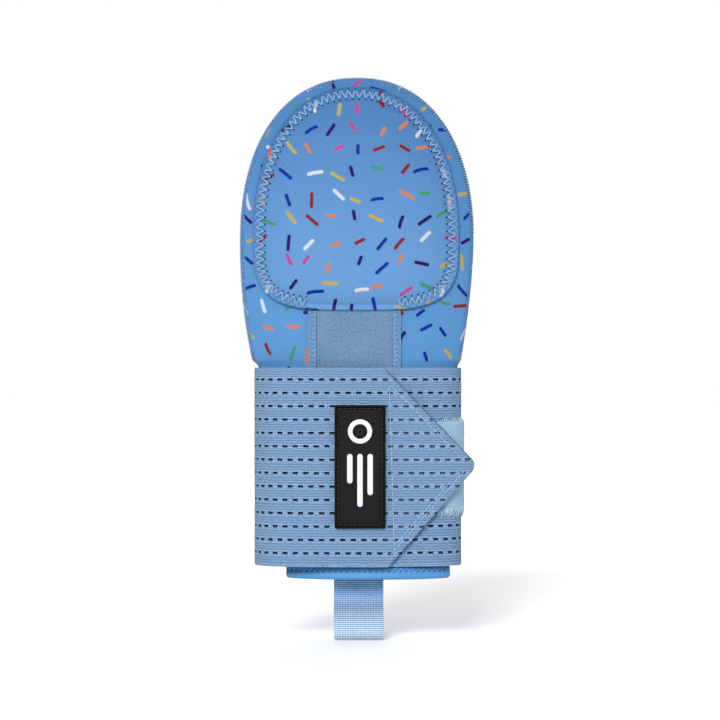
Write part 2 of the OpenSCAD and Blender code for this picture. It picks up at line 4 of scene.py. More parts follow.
import bmesh
import bpy
import numpy as np
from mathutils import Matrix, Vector


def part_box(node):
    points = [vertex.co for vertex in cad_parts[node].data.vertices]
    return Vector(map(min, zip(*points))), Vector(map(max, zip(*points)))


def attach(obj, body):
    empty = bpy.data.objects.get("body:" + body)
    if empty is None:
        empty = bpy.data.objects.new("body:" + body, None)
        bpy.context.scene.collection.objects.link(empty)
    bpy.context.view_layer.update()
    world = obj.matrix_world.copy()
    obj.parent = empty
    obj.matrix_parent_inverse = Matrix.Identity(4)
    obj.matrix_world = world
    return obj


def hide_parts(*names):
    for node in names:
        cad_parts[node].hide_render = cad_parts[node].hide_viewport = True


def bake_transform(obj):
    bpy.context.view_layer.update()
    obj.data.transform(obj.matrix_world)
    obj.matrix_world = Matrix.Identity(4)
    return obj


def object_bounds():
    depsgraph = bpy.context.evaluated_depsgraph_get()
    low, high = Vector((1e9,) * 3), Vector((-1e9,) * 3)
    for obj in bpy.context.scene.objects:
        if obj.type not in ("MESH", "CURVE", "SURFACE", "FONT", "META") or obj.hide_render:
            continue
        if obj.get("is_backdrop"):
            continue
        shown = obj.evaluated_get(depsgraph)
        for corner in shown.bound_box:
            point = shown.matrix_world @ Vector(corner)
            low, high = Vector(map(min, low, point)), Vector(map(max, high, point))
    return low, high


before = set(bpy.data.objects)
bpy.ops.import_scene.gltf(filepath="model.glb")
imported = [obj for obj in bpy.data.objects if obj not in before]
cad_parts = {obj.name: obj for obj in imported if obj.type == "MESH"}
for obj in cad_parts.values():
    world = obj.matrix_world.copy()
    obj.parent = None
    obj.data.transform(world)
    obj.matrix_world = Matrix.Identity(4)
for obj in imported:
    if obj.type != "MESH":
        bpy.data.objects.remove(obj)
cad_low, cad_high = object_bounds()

# ---- Studio ----
# The mitt stands upright on a pale paper floor, its pull tab just touching it. A soft key light
# hangs in front, to the left and above, and a pale sky fills the shade.


class Wire:
    """One socket of a material: sums on wires add the nodes that work them out."""

    def __init__(self, tree, socket):
        self.tree = tree
        self.socket = socket

    def node(self, kind, settings=None, out=0, **sockets):
        """Adds a node, sets it, then gives its sockets their values or links."""
        made = self.tree.nodes.new("ShaderNode" + kind)
        for key, value in (settings or {}).items():
            setattr(made, key, value)
        for key, value in sockets.items():
            socket = made.inputs[int(key[1:]) if key[1:].isdigit() else key.replace("_", " ")]
            if isinstance(value, Wire):
                self.tree.links.new(value.socket, socket)
            else:
                socket.default_value = value
        return Wire(self.tree, made.outputs[out])

    def maths(self, operation, *others):
        sockets = {f"i{k + 1}": other for k, other in enumerate(others)}
        return self.node("Math", {"operation": operation}, i0=self, **sockets)

    def __add__(self, other):
        return self.maths("ADD", other)

    def __mul__(self, other):
        return self.maths("MULTIPLY", other)

    def __sub__(self, other):
        return self.maths("SUBTRACT", other)

    def __truediv__(self, other):
        return self.maths("DIVIDE", other)

    def __rsub__(self, other):
        return self.node("Math", {"operation": "SUBTRACT"}, i0=other, i1=self)

    __radd__ = __add__
    __rmul__ = __mul__

    def vector(self, operation, other, out=0):
        return self.node("VectorMath", {"operation": operation}, out=out, i0=self, i1=other)

    def parts(self):
        split = self.tree.nodes.new("ShaderNodeSeparateXYZ")
        self.tree.links.new(self.socket, split.inputs[0])
        return [Wire(self.tree, output) for output in split.outputs]

    def ramp(self, low, high):
        """0 below low and 1 above high, or the other way round if low is the higher."""
        if low > high:
            return 1 - self.ramp(high, low)
        return self.node("MapRange", {"interpolation_type": "SMOOTHSTEP"}, i0=self, i1=low, i2=high)

    def tint(self, first, second):
        """first where this is 0, second where it is 1."""
        colours = {k: c if isinstance(c, Wire) else (*c, 1) for k, c in (("i6", first), ("i7", second))}
        return self.node("Mix", {"data_type": "RGBA"}, out=2, i0=self, **colours)

    def fade(self, stops, interpolation):
        """Colours at places from 0 to 1."""
        made = self.node("ValToRGB", Fac=self)
        ramp = made.socket.node.color_ramp
        ramp.interpolation = interpolation
        while len(ramp.elements) < len(stops):
            ramp.elements.new(0.5)
        for element, (place, colour) in zip(ramp.elements, stops):
            element.position = place
            element.color = (*colour, 1)
        return made

    def noise(self, scale, detail=2.0):
        return self.node("TexNoise", Vector=self, Scale=scale, Detail=detail)

    def wave(self, pitch, shift=0.0):
        """0 to 1 and back once in each pitch."""
        return (self * (2 * math.pi / pitch) + shift).maths("SINE") * 0.5 + 0.5

    def chance(self):
        return self.node("TexWhiteNoise", {"noise_dimensions": "3D"}, out=1, Vector=self).parts()


def finish_of(name, roughness, sheen=0.0, specular=0.3):
    """A new material, its shader and its Object coordinates."""
    material = bpy.data.materials.new(name)
    material.use_nodes = True
    shader = material.node_tree.nodes["Principled BSDF"]
    shader.inputs["Roughness"].default_value = roughness
    shader.inputs["Sheen Weight"].default_value = sheen
    shader.inputs["Specular IOR Level"].default_value = specular
    spot = material.node_tree.nodes.new("ShaderNodeTexCoord").outputs["Object"]
    return material, shader, Wire(material.node_tree, spot)


def plug(wire, shader, socket):
    wire.tree.links.new(wire.socket, shader.inputs[socket])


def look(shader, colour, roughness=None, height=None, depth=0.0, strength=1.0):
    """Gives a shader its colour, and may give it a roughness and a relief that is depth deep."""
    plug(colour, shader, "Base Color")
    if roughness:
        plug(roughness, shader, "Roughness")
    if height:
        plug(height.node("Bump", Strength=strength, Distance=depth, Height=height), shader, "Normal")


bpy.ops.object.select_all(action="DESELECT")
bpy.ops.mesh.primitive_grid_add(x_subdivisions=8, y_subdivisions=8, size=14, location=(0, 0, cad_low.z - 0.0004))
floor = bpy.context.object
floor.name = "studio_floor"
bpy.ops.object.transform_apply(location=True)
paper, paper_shader, spot = finish_of("floor_paper", 0.9, specular=0.1)
look(paper_shader, spot.noise(3).tint((0.96, 0.96, 0.96), (0.98, 0.98, 0.98)))
floor.data.materials.append(paper)
floor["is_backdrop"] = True

bpy.ops.object.camera_add(location=(0.0016, -1.5, 0.113), rotation=(math.pi / 2, 0, 0))
camera = bpy.context.object
camera.data.lens = 144.3
camera.data.sensor_width = 36
camera.data.dof.use_dof = False
bpy.context.scene.camera = camera
bpy.context.scene.view_settings.view_transform = "Standard"

sky = bpy.data.worlds.new("studio_sky")
bpy.context.scene.world = sky
sky.use_nodes = True
sky_way = Wire(sky.node_tree, sky.node_tree.nodes.new("ShaderNodeTexCoord").outputs["Generated"])
overhead = sky_way.parts()[2].ramp(0.25, 0.95)
plug(overhead.tint((1, 1, 1), (0.47, 0.48, 0.50)), sky.node_tree.nodes["Background"], "Color")


def hang_light(kind, name, place, size, power):
    bpy.ops.object.light_add(type=kind, location=place)
    lamp = bpy.context.object
    lamp.name = name
    lamp.data.energy = power
    if kind == "SUN":
        lamp.data.angle = size
    else:
        lamp.data.size = size
    lamp.rotation_euler = (Vector((0, 0, 0.11)) - Vector(place)).to_track_quat("-Z", "Y").to_euler()


hang_light("SUN", "key_light", (-0.36, -1.8, 0.87), 0.3, 3.4)
hang_light("AREA", "back_light", (0.3, 1.8, 1.0), 1.2, 9)

# ---- Hand shell ----
# Two panels of 3 mm neoprene, faced with knit that is printed all over with short strokes of
# colour. They are sewn together round the fingers and fold smoothly down the thumb side.
shell_low, shell_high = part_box("front_shell")
strap_low, strap_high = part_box("wrist_strap")
shell_half_w = shell_high.x
shell_half_d = -shell_low.y
shell_bottom = shell_low.z
fingertip_z = 0.2595
widest_z = 0.174
arch_n = 2.25
shell_t = 0.003
edge_d = 0.00315
strap_top = strap_high.z
strap_bottom = strap_low.z
strap_half_w = (strap_high.x - strap_low.x) / 2
strap_shift = (strap_high.x + strap_low.x) / 2
elastic_t = 0.0015
wrist_half_w = strap_half_w - elastic_t - 0.0005
knuckle_half_w = strap_half_w - 0.0003
cuff_half_w = 0.0407
cuff_shift = 0.0058
cuff_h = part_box("cuff_binding")[1].z
cuff_end = cuff_h + 0.0004
flare_z = strap_top + 0.0003
chance = np.random.default_rng(11)


def mix(a, b, f):
    return a + (b - a) * f


def ease(f):
    f = np.clip(f, 0, 1)
    return f * f * (3 - 2 * f)


def arch(f, n):
    return (1 - np.clip(np.abs(f), 0, 1) ** n) ** (1 / n)


def spow(v, n):
    return np.sign(v) * np.abs(v) ** (2 / n)


def xyz(*parts):
    """Points, or ways, from their parts: a single number stands for a whole part."""
    return np.stack(np.broadcast_arrays(*parts), -1)


def unit(ways):
    return ways / np.linalg.norm(ways, axis=-1, keepdims=True)


def lengths(points):
    """How far along its line each point lies."""
    return np.concatenate([[0], np.cumsum(np.linalg.norm(np.diff(points, axis=0), axis=1))])


def places(at, far, points):
    """The places on a line of points that lie at lengths along it."""
    return np.stack([np.interp(at, far, part) for part in points.T], -1)


def eased_steps(count):
    """Steps from 0 to 1 that crowd together at both ends."""
    return 0.5 - 0.5 * np.cos(np.linspace(0, math.pi, count))


def wrist_edge(z, s):
    f = np.clip((z - cuff_end) / (strap_top - cuff_end), 0, 1) ** 0.85
    return mix(cuff_shift + s * cuff_half_w, strap_shift + s * wrist_half_w, f)


def hand_edge(z, s):
    above = s * shell_half_w * arch(np.clip((z - widest_z) / (fingertip_z - widest_z), 0, 1), arch_n)
    fall = np.clip((widest_z - z) / (widest_z - strap_top), 0, 1) ** (2.1 if s < 0 else 1.6)
    return np.where(z >= widest_z, above, s * mix(shell_half_w, knuckle_half_w, fall))


def shell_edge(z, s):
    return mix(wrist_edge(z, s), hand_edge(np.maximum(z, strap_top), s), ease((z - flare_z) / 0.004))


def shell_r(x, z):
    """0 in the middle of the hand, 1 on the outline."""
    up = np.clip((z - widest_z) / (fingertip_z - widest_z), 0, 1)
    left, right = shell_edge(z, -1), shell_edge(z, 1)
    across = np.abs(2 * x - left - right) / np.maximum(right - left, 1e-6)
    arched = ((np.abs(x) / shell_half_w) ** arch_n + up**arch_n) ** (1 / arch_n)
    return np.clip(np.where(z > widest_z, arched, across), 0, 1)


def shell_depth(x, z):
    return mix(edge_d, shell_half_d, (1 - shell_r(x, z) ** 2.4) ** 0.7)


def rounded_depth(x, z):
    """The depth, with the cut edge rolled round."""
    over = np.clip((shell_r(x, z) - 0.955) / 0.045, 0, 1)
    return np.maximum(shell_depth(x, z) * mix(0.02, 1, np.sqrt(1 - over * over)), 0.0001)


def grid_faces(rows, cols, start=0):
    j, i = np.meshgrid(np.arange(rows - 1), np.arange(cols - 1), indexing="ij")
    a = start + j * cols + i
    return np.stack([a, a + 1, a + cols + 1, a + cols], -1).reshape(-1, 4).tolist()


def new_piece(name, points, faces, angle=50, **laid):
    """A piece from points and faces, its doubles merged, its faces outwards and its edges smooth."""
    mesh = bpy.data.meshes.new(name)
    mesh.from_pydata(np.asarray(points).tolist(), [], faces)
    for key, values in laid.items():
        held = mesh.attributes.new(key, "FLOAT_VECTOR", "POINT")
        held.data.foreach_set("vector", np.asarray(values, np.float32).ravel())
    shape = bmesh.new()
    shape.from_mesh(mesh)
    bmesh.ops.remove_doubles(shape, verts=shape.verts, dist=0.00001)
    bmesh.ops.recalc_face_normals(shape, faces=shape.faces)
    shape.to_mesh(mesh)
    shape.free()
    for face in mesh.polygons:
        face.use_smooth = True
    mesh.set_sharp_from_angle(angle=math.radians(angle))
    piece = bpy.data.objects.new(name, mesh)
    bpy.context.scene.collection.objects.link(piece)
    return piece


def rim_faces(rows, cols):
    """Faces that join the rims of two grids of points, the second listed after the first."""
    count = rows * cols
    index = np.arange(count).reshape(rows, cols)
    rim = np.concatenate([index[0, :-1], index[:-1, -1], index[-1, :0:-1], index[:0:-1, 0]])
    return [[a, b, b + count, a + count] for a, b in zip(rim.tolist(), np.roll(rim, -1).tolist())]


def closed_sheet(name, inner, outer, weave):
    """A closed sheet of cloth between two grids of points."""
    rows, cols = outer.shape[:2]
    points = np.concatenate([inner.reshape(-1, 3), outer.reshape(-1, 3)])
    faces = grid_faces(rows, cols) + grid_faces(rows, cols, rows * cols) + rim_faces(rows, cols)
    return new_piece(name, points, faces, weave=np.stack([weave, weave]))


def skin(name, grid, angle=50, **laid):
    """A piece with a single layer of faces over a grid of points."""
    return new_piece(name, grid.reshape(-1, 3), grid_faces(*grid.shape[:2]), angle, **laid)


def runs_along(points):
    """How far along its row each point lies, from where the row crosses x = 0."""
    runs = [lengths(row) for row in points]
    return np.array([run - np.interp(0, row[:, 0], run) for row, run in zip(points, runs)])


def shaped_panel(name, x, z, near, far, side, layer=0.0):
    """A sheet that lies along the hand: near and far are its depths, side -1 the back of the hand."""
    inner, outer = (xyz(x, side * y, z) for y in (near, far))
    return closed_sheet(name, inner, outer, xyz(runs_along(outer), z, layer))


def dress(piece, material, slot, *nodes, body="mitt"):
    """Gives a piece its material, hides the CAD nodes that it stands for and attaches it to its body; slot is not
    used.
    """
    piece.data.materials.append(material)
    if nodes:
        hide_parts(*nodes)
    if body:
        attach(piece, body)
    return piece


def laid(spot, name="weave"):
    """The piece's own coordinates along its cloth, in metres."""
    return spot.node("Attribute", {"attribute_name": name}, out=1)


def knit(cloth, pitch):
    """The loops of a knit: columns of small slanting stitches."""
    x, z, _ = cloth.parts()
    column = (x / pitch).maths("FRACT") - 0.5
    slant = (z / pitch + column.maths("ABSOLUTE") * 0.9).maths("FRACT") - 0.5
    return 1 - (column * column * 2.6 + slant * slant * 1.6)


stroke_cell = 0.0232
zigzag_pitch = 0.0037
stroke_inks = [
    (0.00, (0.38, 0.40, 0.45)), (0.13, (0.0015, 0.013, 0.175)), (0.28, (0.140, 0.008, 0.008)),
    (0.45, (0.37, 0.120, 0.045)), (0.57, (0.28, 0.23, 0.050)), (0.70, (0.030, 0.170, 0.095)),
    (0.80, (0.29, 0.034, 0.165)), (0.89, (0.013, 0.0004, 0.066)),
]


def printed_strokes(cloth, shift):
    """Where one loose grid of printed strokes lies, and the colour of each."""
    place = cloth.vector("MULTIPLY", (1 / stroke_cell,) * 3).vector("ADD", shift)
    cell = place.vector("FLOOR", (0, 0, 0))
    x, z, _ = place.vector("SUBTRACT", cell).parts()
    aside, up, turn = cell.vector("ADD", (0.5, 0.5, shift[2] * 7)).chance()
    size, ink, curl = cell.vector("ADD", (31.5, 17.5, shift[2] * 5)).chance()
    x = (x - 0.5 - (aside - 0.5) * 0.22) * stroke_cell
    z = (z - 0.5 - (up - 0.5) * 0.22) * stroke_cell
    angle = turn * math.pi
    c, s = angle.maths("COSINE"), angle.maths("SINE")
    along = x * c + z * s
    across = z * c - x * s + along * along * (curl.maths("MAXIMUM", 0.7) - 0.7) * 110
    over = (along.maths("ABSOLUTE") - (size * 0.0020 + 0.0017)).maths("MAXIMUM", 0.0)
    return (over * over + across * across).maths("SQRT"), ink.fade(stroke_inks, "CONSTANT")


def neoprene(name, low, high, seam=False):
    """Printed neoprene; with seam, it is pricked and puckered where its zigzag seam runs."""
    material, shader, spot = finish_of(name, 0.65, sheen=0.02, specular=0.06)
    cloth = laid(spot)
    mottle = cloth.noise(45, 3)
    grain = cloth.noise(800, 2)
    # Painted light: the colour is lighter below z 0.15 m than above z 0.26 m, so the hand's top reads darker and its
    # bottom brighter.
    base = (mottle * 0.15 + grain * 0.40 - 0.125 + spot.parts()[2].ramp(0.26, 0.15) * 0.7).tint(low, high)
    for shift in [(0, 0, 1), (0.5, 0.02, 2), (0.03, 0.5, 3), (0.52, 0.47, 4)]:
        far, colour = printed_strokes(cloth, shift)
        base = (far.ramp(0.0018, 0.0008) * 0.14).tint(base, colour)
        base = far.ramp(0.00094, 0.00076).tint(base, colour)
    loops = knit(cloth, 0.0006)
    base = (0.10 - loops * 0.10).tint(base, (0.02, 0.06, 0.20))
    height = loops * 0.12 + mottle * 0.35
    if seam:
        s, r, sewn = laid(spot, "seam").parts()
        inner = (s.maths("FRACT") - 0.5).maths("ABSOLUTE") * zigzag_pitch
        outer = zigzag_pitch / 2 - inner
        hole_in = (outer * outer + (r - 0.0060) * (r - 0.0060)).maths("SQRT")
        hole_out = (inner * inner + (r - 0.0008) * (r - 0.0008)).maths("SQRT")
        prick = hole_in.ramp(0.00066, 0.00036) * sewn
        prick = prick.maths("MAXIMUM", hole_out.ramp(0.0005, 0.0002) * 0.5 * sewn)
        # Painted shade: a faint darker band along the groove that the zigzag presses in, and a darker line along the
        # cover's edge where it meets the shell.
        shade = (r - 0.0034).maths("ABSOLUTE").ramp(0.0030, 0.0014) * 0.14 * sewn
        base = shade.tint(base, (0.03, 0.10, 0.30))
        base = (r.ramp(0.0009, 0.0001) * 0.4).tint(base, (0.012, 0.045, 0.15))
        base = (prick * 0.92).tint(base, (0.004, 0.010, 0.035))
        height = height - prick * 3.0
    look(shader, base, mottle * 0.12 + 0.56, height, 0.00025, 0.7)
    return material


printed = neoprene("printed_neoprene", (0.040, 0.125, 0.275), (0.066, 0.186, 0.372))
side_rows = np.concatenate([
    np.linspace(shell_bottom, strap_top - 0.004, 40), np.linspace(strap_top - 0.003, strap_top + 0.012, 30),
    np.linspace(strap_top + 0.013, widest_z - 0.0015, 34),
    widest_z + (fingertip_z - widest_z) * np.sin(np.linspace(0, math.pi / 2, 90)) * 0.9992])
z, f = np.meshgrid(side_rows, eased_steps(141), indexing="ij")
x = mix(shell_edge(z, -1), shell_edge(z, 1), f)
depth = rounded_depth(x, z)
for name, side in (("front_shell", -1), ("palm_shell", 1)):
    panel = shaped_panel(name + "_cloth", x, z, np.maximum(depth - shell_t, 0.00005), depth, side, 0.05 * side)
    dress(panel, printed, "printed_neoprene", name)

# ---- Linings ----
# Thin brushed tricot inside each shell panel, sewn in at the cuff. It shows only in the wrist
# opening.
lining, lining_shader, spot = finish_of("lining_cloth", 0.85, sheen=0.3, specular=0.2)
cloth = laid(spot)
loops = knit(cloth, 0.0009)
look(lining_shader, (loops * 0.5 + cloth.noise(60) * 0.5).tint((0.085, 0.125, 0.21), (0.16, 0.23, 0.36)),
     cloth.noise(200) * 0.2 + 0.7, loops, 0.0003)
lining_t = 0.001
inset = 0.9
lining_top = widest_z + (fingertip_z - widest_z) * inset
side_rows = np.concatenate([np.linspace(shell_bottom, widest_z - 0.002, 60),
                            widest_z + (lining_top - widest_z) * np.sin(np.linspace(0, math.pi / 2, 40)) * 0.999])
z, f = np.meshgrid(side_rows, eased_steps(61), indexing="ij")
middle = (shell_edge(z, -1) + shell_edge(z, 1)) / 2
reach = np.where(z < widest_z, (shell_edge(z, 1) - shell_edge(z, -1)) / 2 * inset,
                 shell_half_w * inset * arch(np.clip((z - widest_z) / (lining_top - widest_z), 0, 1), arch_n))
x = middle + (2 * f - 1) * reach
far = shell_depth(x, z) - shell_t - 0.0003
for name, side in (("front_lining", -1), ("palm_lining", 1)):
    ply = shaped_panel(name + "_cloth", x, z, far - lining_t, far, side, 0.05 * side)
    dress(ply, lining, "lining_cloth", name)

# ---- Stretch insert ----
# A panel of plain stretch knit let into the back of the hand, so that the knuckles can bend. A
# narrow knit strip, zigzagged on, binds each side of it.
ply_gap = 0.0003
insert_t = 0.0008
insert_low, insert_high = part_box("stretch_insert")


def knit_cloth(name, low, high, pitch):
    material, shader, spot = finish_of(name, 0.8, sheen=0.03, specular=0.12)
    cloth = laid(spot)
    loops = knit(cloth, pitch)
    grain = cloth.noise(900, 2)
    look(shader, (loops * 0.25 + grain * 0.55 + cloth.noise(40) * 0.2).ramp(0.28, 0.72).tint(low, high),
         grain * 0.2 + 0.68, loops + grain * 0.6, 0.0002)
    return material


def on_back(name, low, high, near, thick, cols, crimp=0.0):
    """A panel on the back of the hand that fills the width and height of a box."""
    z, f = np.meshgrid(np.linspace(low.z, high.z, 120), np.linspace(0, 1, cols), indexing="ij")
    x = mix(low.x, high.x, f)
    near = shell_depth(x, z) + near
    ripple = crimp * np.sin(z / 0.0026 * 2 * math.pi) * np.sin(f * math.pi)
    return shaped_panel(name, x, z, near, near + thick + ripple, -1)


insert = on_back("stretch_insert_cloth", insert_low, insert_high, ply_gap, insert_t, 60)
stretch_knit = knit_cloth("stretch_knit", (0.058, 0.116, 0.200), (0.128, 0.222, 0.336), 0.0006)
dress(insert, stretch_knit, "stretch_knit", "stretch_insert")

binding_near = ply_gap + insert_t + ply_gap
binding_t = 0.0006
binding_knit = knit_cloth("binding_knit", (0.060, 0.140, 0.270), (0.150, 0.270, 0.430), 0.0005)
binding_x = {}
for name in ("insert_binding_left", "insert_binding_right"):
    low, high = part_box(name)
    binding_x[name] = (low.x, high.x)
    strip = on_back(name + "_strip", low, high, binding_near, binding_t, 9, crimp=0.00012)
    dress(strip, binding_knit, "thread", name)

# ---- Sewing thread ----
# Pale polyester thread, two or three plies twisted together, sunk into a needle hole at each end
# of a stitch. The zigzags on the insert's bindings are the first of its seams.


def twisted_thread(name, low, high, pitch=0.0007):
    material, shader, spot = finish_of(name, 0.55, sheen=0.05, specular=0.2)
    along, around, stray = laid(spot).parts()
    ply = (along + around * 0.8).wave(pitch)
    look(shader, (ply * 0.75 + stray * 0.25).tint(low, high), ply * 0.2 + 0.4, ply, 0.0001, 0.8)
    return material


def sewn(name, runs, out, radius, sides=5):
    """Closed tubes of thread along runs of points: one run to a row, out pointing off the cloth."""
    count, steps, _ = runs.shape
    way = unit(np.gradient(runs, axis=1))
    aside = unit(np.cross(way, np.broadcast_to(out, runs.shape)))
    up = np.cross(aside, way)
    angle = np.linspace(0, 2 * math.pi, sides, endpoint=False)
    size = np.full(steps, radius)
    size[[0, -1]] *= 0.45
    ring = aside[:, :, None] * np.cos(angle)[:, None] + up[:, :, None] * np.sin(angle)[:, None]
    points = (runs[:, :, None] + ring * size[:, None, None]).reshape(-1, 3)
    far = np.array([lengths(run) for run in runs])
    weave = xyz(far[:, :, None], angle * radius, chance.random(count)[:, None, None])
    faces = []
    for k in range(count):
        base = k * steps * sides
        for j in range(steps - 1):
            a = base + j * sides
            faces += [[a + q, a + (q + 1) % sides, a + sides + (q + 1) % sides, a + sides + q] for q in range(sides)]
        faces += [list(range(base, base + sides)), list(range(base + (steps - 1) * sides, base + steps * sides))]
    return new_piece(name, points, faces, 80, weave=weave)


def stitches(starts, ends, out, lift, sink=0.0002):
    """Stitches from starts to ends: each dives in at both ends and bows out between them."""
    f = np.linspace(0, 1, 6)[None, :, None]
    out = np.broadcast_to(np.asarray(out, float), starts.shape)[:, None]
    hump = np.sin(f * math.pi) ** 0.6
    return mix(starts[:, None], ends[:, None], f) + out * (hump * (lift + sink) - sink)


def straight_seam(points, out, pitch, lift, gap=0.22):
    """Running stitches along a line of points, pitch apart."""
    far = lengths(points)
    count = max(int(round(far[-1] / pitch)), 1)
    middle = (np.arange(count) + 0.5) * far[-1] / count
    half = pitch * (1 - gap) / 2
    return stitches(places(middle - half, far, points), places(middle + half, far, points), out, lift)


def hand_normal(x, z, side):
    """The way out of the hand's surface."""
    e = 0.0005
    slope_x = (shell_depth(x + e, z) - shell_depth(x - e, z)) / (2 * e)
    slope_z = (shell_depth(x, z + e) - shell_depth(x, z - e)) / (2 * e)
    return unit(xyz(-slope_x, side, -slope_z))


pale_thread = twisted_thread("thread", (0.10, 0.23, 0.43), (0.39, 0.55, 0.70))
cloth_thread = twisted_thread("edge_thread", (0.045, 0.125, 0.290), (0.115, 0.245, 0.450))
cloth_dark = twisted_thread("edge_thread_dark", (0.010, 0.035, 0.10), (0.040, 0.095, 0.20))
forwards, backwards = (0, -1, 0), (0, 1, 0)
step = 0.0023
rows = np.arange(insert_low.z + 0.001, insert_high.z, step)
legs = []
for name, (x0, x1) in binding_x.items():
    inner, outer = (x1 - 0.0005, x0 + 0.0007) if "left" in name else (x0 + 0.0005, x1 - 0.0007)
    holes = [xyz(x, -(shell_depth(x, rows + up) + binding_near + binding_t + 0.00002), rows + up)
             for x, up in ((inner, 0), (outer, 0.0004), (outer, 0.0019), (inner, step))]
    legs += [stitches(a, b, forwards, lift) for a, b, lift in zip(holes, holes[1:], (0.00022, 0.0002, 0.00022))]
dress(sewn("insert_zigzags", np.concatenate(legs), forwards, 0.00016), cloth_thread, "edge_thread")
legs = []
for name, (x0, x1) in binding_x.items():
    at = rows + (chance.random(len(rows)) - 0.5) * 0.0004
    x = x1 + 0.0001 if "left" in name else x0 - 0.0001
    ends = [xyz(x, -(shell_depth(x, z) + ply_gap + insert_t + 0.00002), z) for z in (at - 0.0004, at + 0.0004)]
    legs.append(stitches(*ends, forwards, 0.00012))
dress(sewn("insert_needle_loops", np.concatenate(legs), forwards, 0.00022), cloth_dark, "edge_thread")

# ---- Padded guards ----
# On each side a hard plate and a slab of foam lie under a printed cover, which is zigzagged to the
# shell round its edge. The front cover's lower edge is left open in the middle.
front_low, front_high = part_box("front_pad_cover")
palm_low, palm_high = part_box("palm_pad_cover")
cover_t = 0.0014
pad_gap = 0.0004
foam_scale = 0.78
seam_in, seam_out = 0.0055, 0.0009
margin_d, margin_rings = 0.0092, 18
Guard = namedtuple("Guard", "middle_x half_w middle_z down up n_down n_up rise")
guards = {
    "front": Guard((front_low.x + front_high.x) / 2, (front_high.x - front_low.x) / 2,
                   0.177, 0.0384, 0.0767, 3.6, 2.2, 0.0052),
    "palm": Guard(0.0, (palm_high.x - palm_low.x) / 2, 0.166, 0.047, 0.072, 3.0, 2.2, 0.004),
}


def guard_outline(guard, a):
    low = np.sin(a) < 0
    n = np.where(low, guard.n_down, guard.n_up)
    return (guard.middle_x + guard.half_w * spow(np.cos(a), n),
            guard.middle_z + np.where(low, guard.down, guard.up) * spow(np.sin(a), n))


def guard_r(guard, x, z):
    """0 in the guard's middle, 1 on its outline."""
    low = z < guard.middle_z
    n = np.where(low, guard.n_down, guard.n_up)
    across = np.abs(x - guard.middle_x) / guard.half_w
    return (across**n + (np.abs(z - guard.middle_z) / np.where(low, guard.down, guard.up)) ** n) ** (1 / n)


def dome(guard, x, z, flat_at, sharp):
    """How far a guard's filling rises: 0 from flat_at outwards."""
    return guard.rise * np.clip(1 - (np.clip(guard_r(guard, x, z), 0, flat_at) / flat_at) ** 4, 0, 1) ** sharp


def guard_edge(guard, count):
    """Points evenly along the cover's edge from its lower middle, the way in, and the edge's length."""
    line = xyz(*guard_outline(guard, np.linspace(-math.pi / 2, 1.5 * math.pi, 40001)))
    far = lengths(line)
    at = np.linspace(0, far[-1], count)
    points = places(at, far, line)
    way = np.gradient(points, axis=0)
    way[0] = way[-1] = (1, 0)
    way = unit(way + np.roll(way, 1, 0) + np.roll(way, -1, 0))
    return points[:, 0], points[:, 1], -way[:, 1], way[:, 0], at, far[-1]


def guard_height(guard, x, z, d, s, sewn_at):
    """How far the cover stands off the shell, d in from its edge and s stitches along it."""
    press = -0.0006 * sewn_at * np.exp(-((d - 0.0033) / 0.0016) ** 2)
    margin = np.clip(1 - (d - 0.0004) / 0.0016, 0, 1)
    beat = sewn_at * np.cos(2 * math.pi * s)
    puff = (0.0004 + 0.0006 * sewn_at) * margin + beat * 0.0003 * margin
    tuck = beat * 0.00022 * np.exp(-((d - 0.0066) / 0.0015) ** 2)
    return pad_gap + cover_t + dome(guard, x, z, 0.93, 0.8) + press + puff + tuck


def swollen(points, faces, pinned):
    """Where the points of a cover go when its filling presses it out."""
    mesh = bpy.data.meshes.new("cover_trial")
    mesh.from_pydata(points.tolist(), [], faces)
    trial = bpy.data.objects.new("cover_trial", mesh)
    bpy.context.scene.collection.objects.link(trial)
    trial.vertex_groups.new(name="sewn").add(pinned, 1.0, "REPLACE")
    filling = trial.modifiers.new("filling", "CLOTH")
    filling.settings.vertex_group_mass = "sewn"
    filling.settings.quality = 6
    filling.settings.tension_stiffness = filling.settings.compression_stiffness = 12
    filling.settings.use_pressure = True
    filling.settings.uniform_pressure_force = 4
    filling.settings.effector_weights.gravity = 0
    filling.point_cache.frame_start, filling.point_cache.frame_end = 1, 20
    for step in range(1, 21):
        bpy.context.scene.frame_set(step)
    shape = trial.evaluated_get(bpy.context.evaluated_depsgraph_get()).data
    moved = np.array([tuple(v.co) for v in shape.vertices])
    bpy.context.scene.frame_set(1)
    bpy.data.objects.remove(trial)
    return moved


def stitched(guard_name, at, length):
    """1 where the cover is sewn down: the front cover's lower middle is not."""
    if guard_name == "palm":
        return np.ones_like(at)
    return ease((at - 0.0225) / 0.002) * ease((length - 0.0245 - at) / 0.002)


def guard_rows(guard, guard_name, count, pitch):
    """Rings of places over the cover: x, z, way in from the edge, stitches along it and where it is sewn."""
    ex, ez, nx, nz, at, length = guard_edge(guard, count)
    rings = [(ex + nx * d, ez + nz * d, np.full_like(ex, d)) for d in np.linspace(0, margin_d, margin_rings)]
    last_x, last_z, _ = rings[-1]
    cx, cz = guard.middle_x, guard.middle_z + 0.006
    for k in np.linspace(1, 0, 20)[1:] ** 0.9:
        rings.append((mix(cx, last_x, k), mix(cz, last_z, k), margin_d + (1 - k) * 0.04 + 0 * ex))
    x, z, d = (np.stack(rows) for rows in zip(*rings))
    return np.broadcast_arrays(x, z, d, at / pitch, stitched(guard_name, at, length))


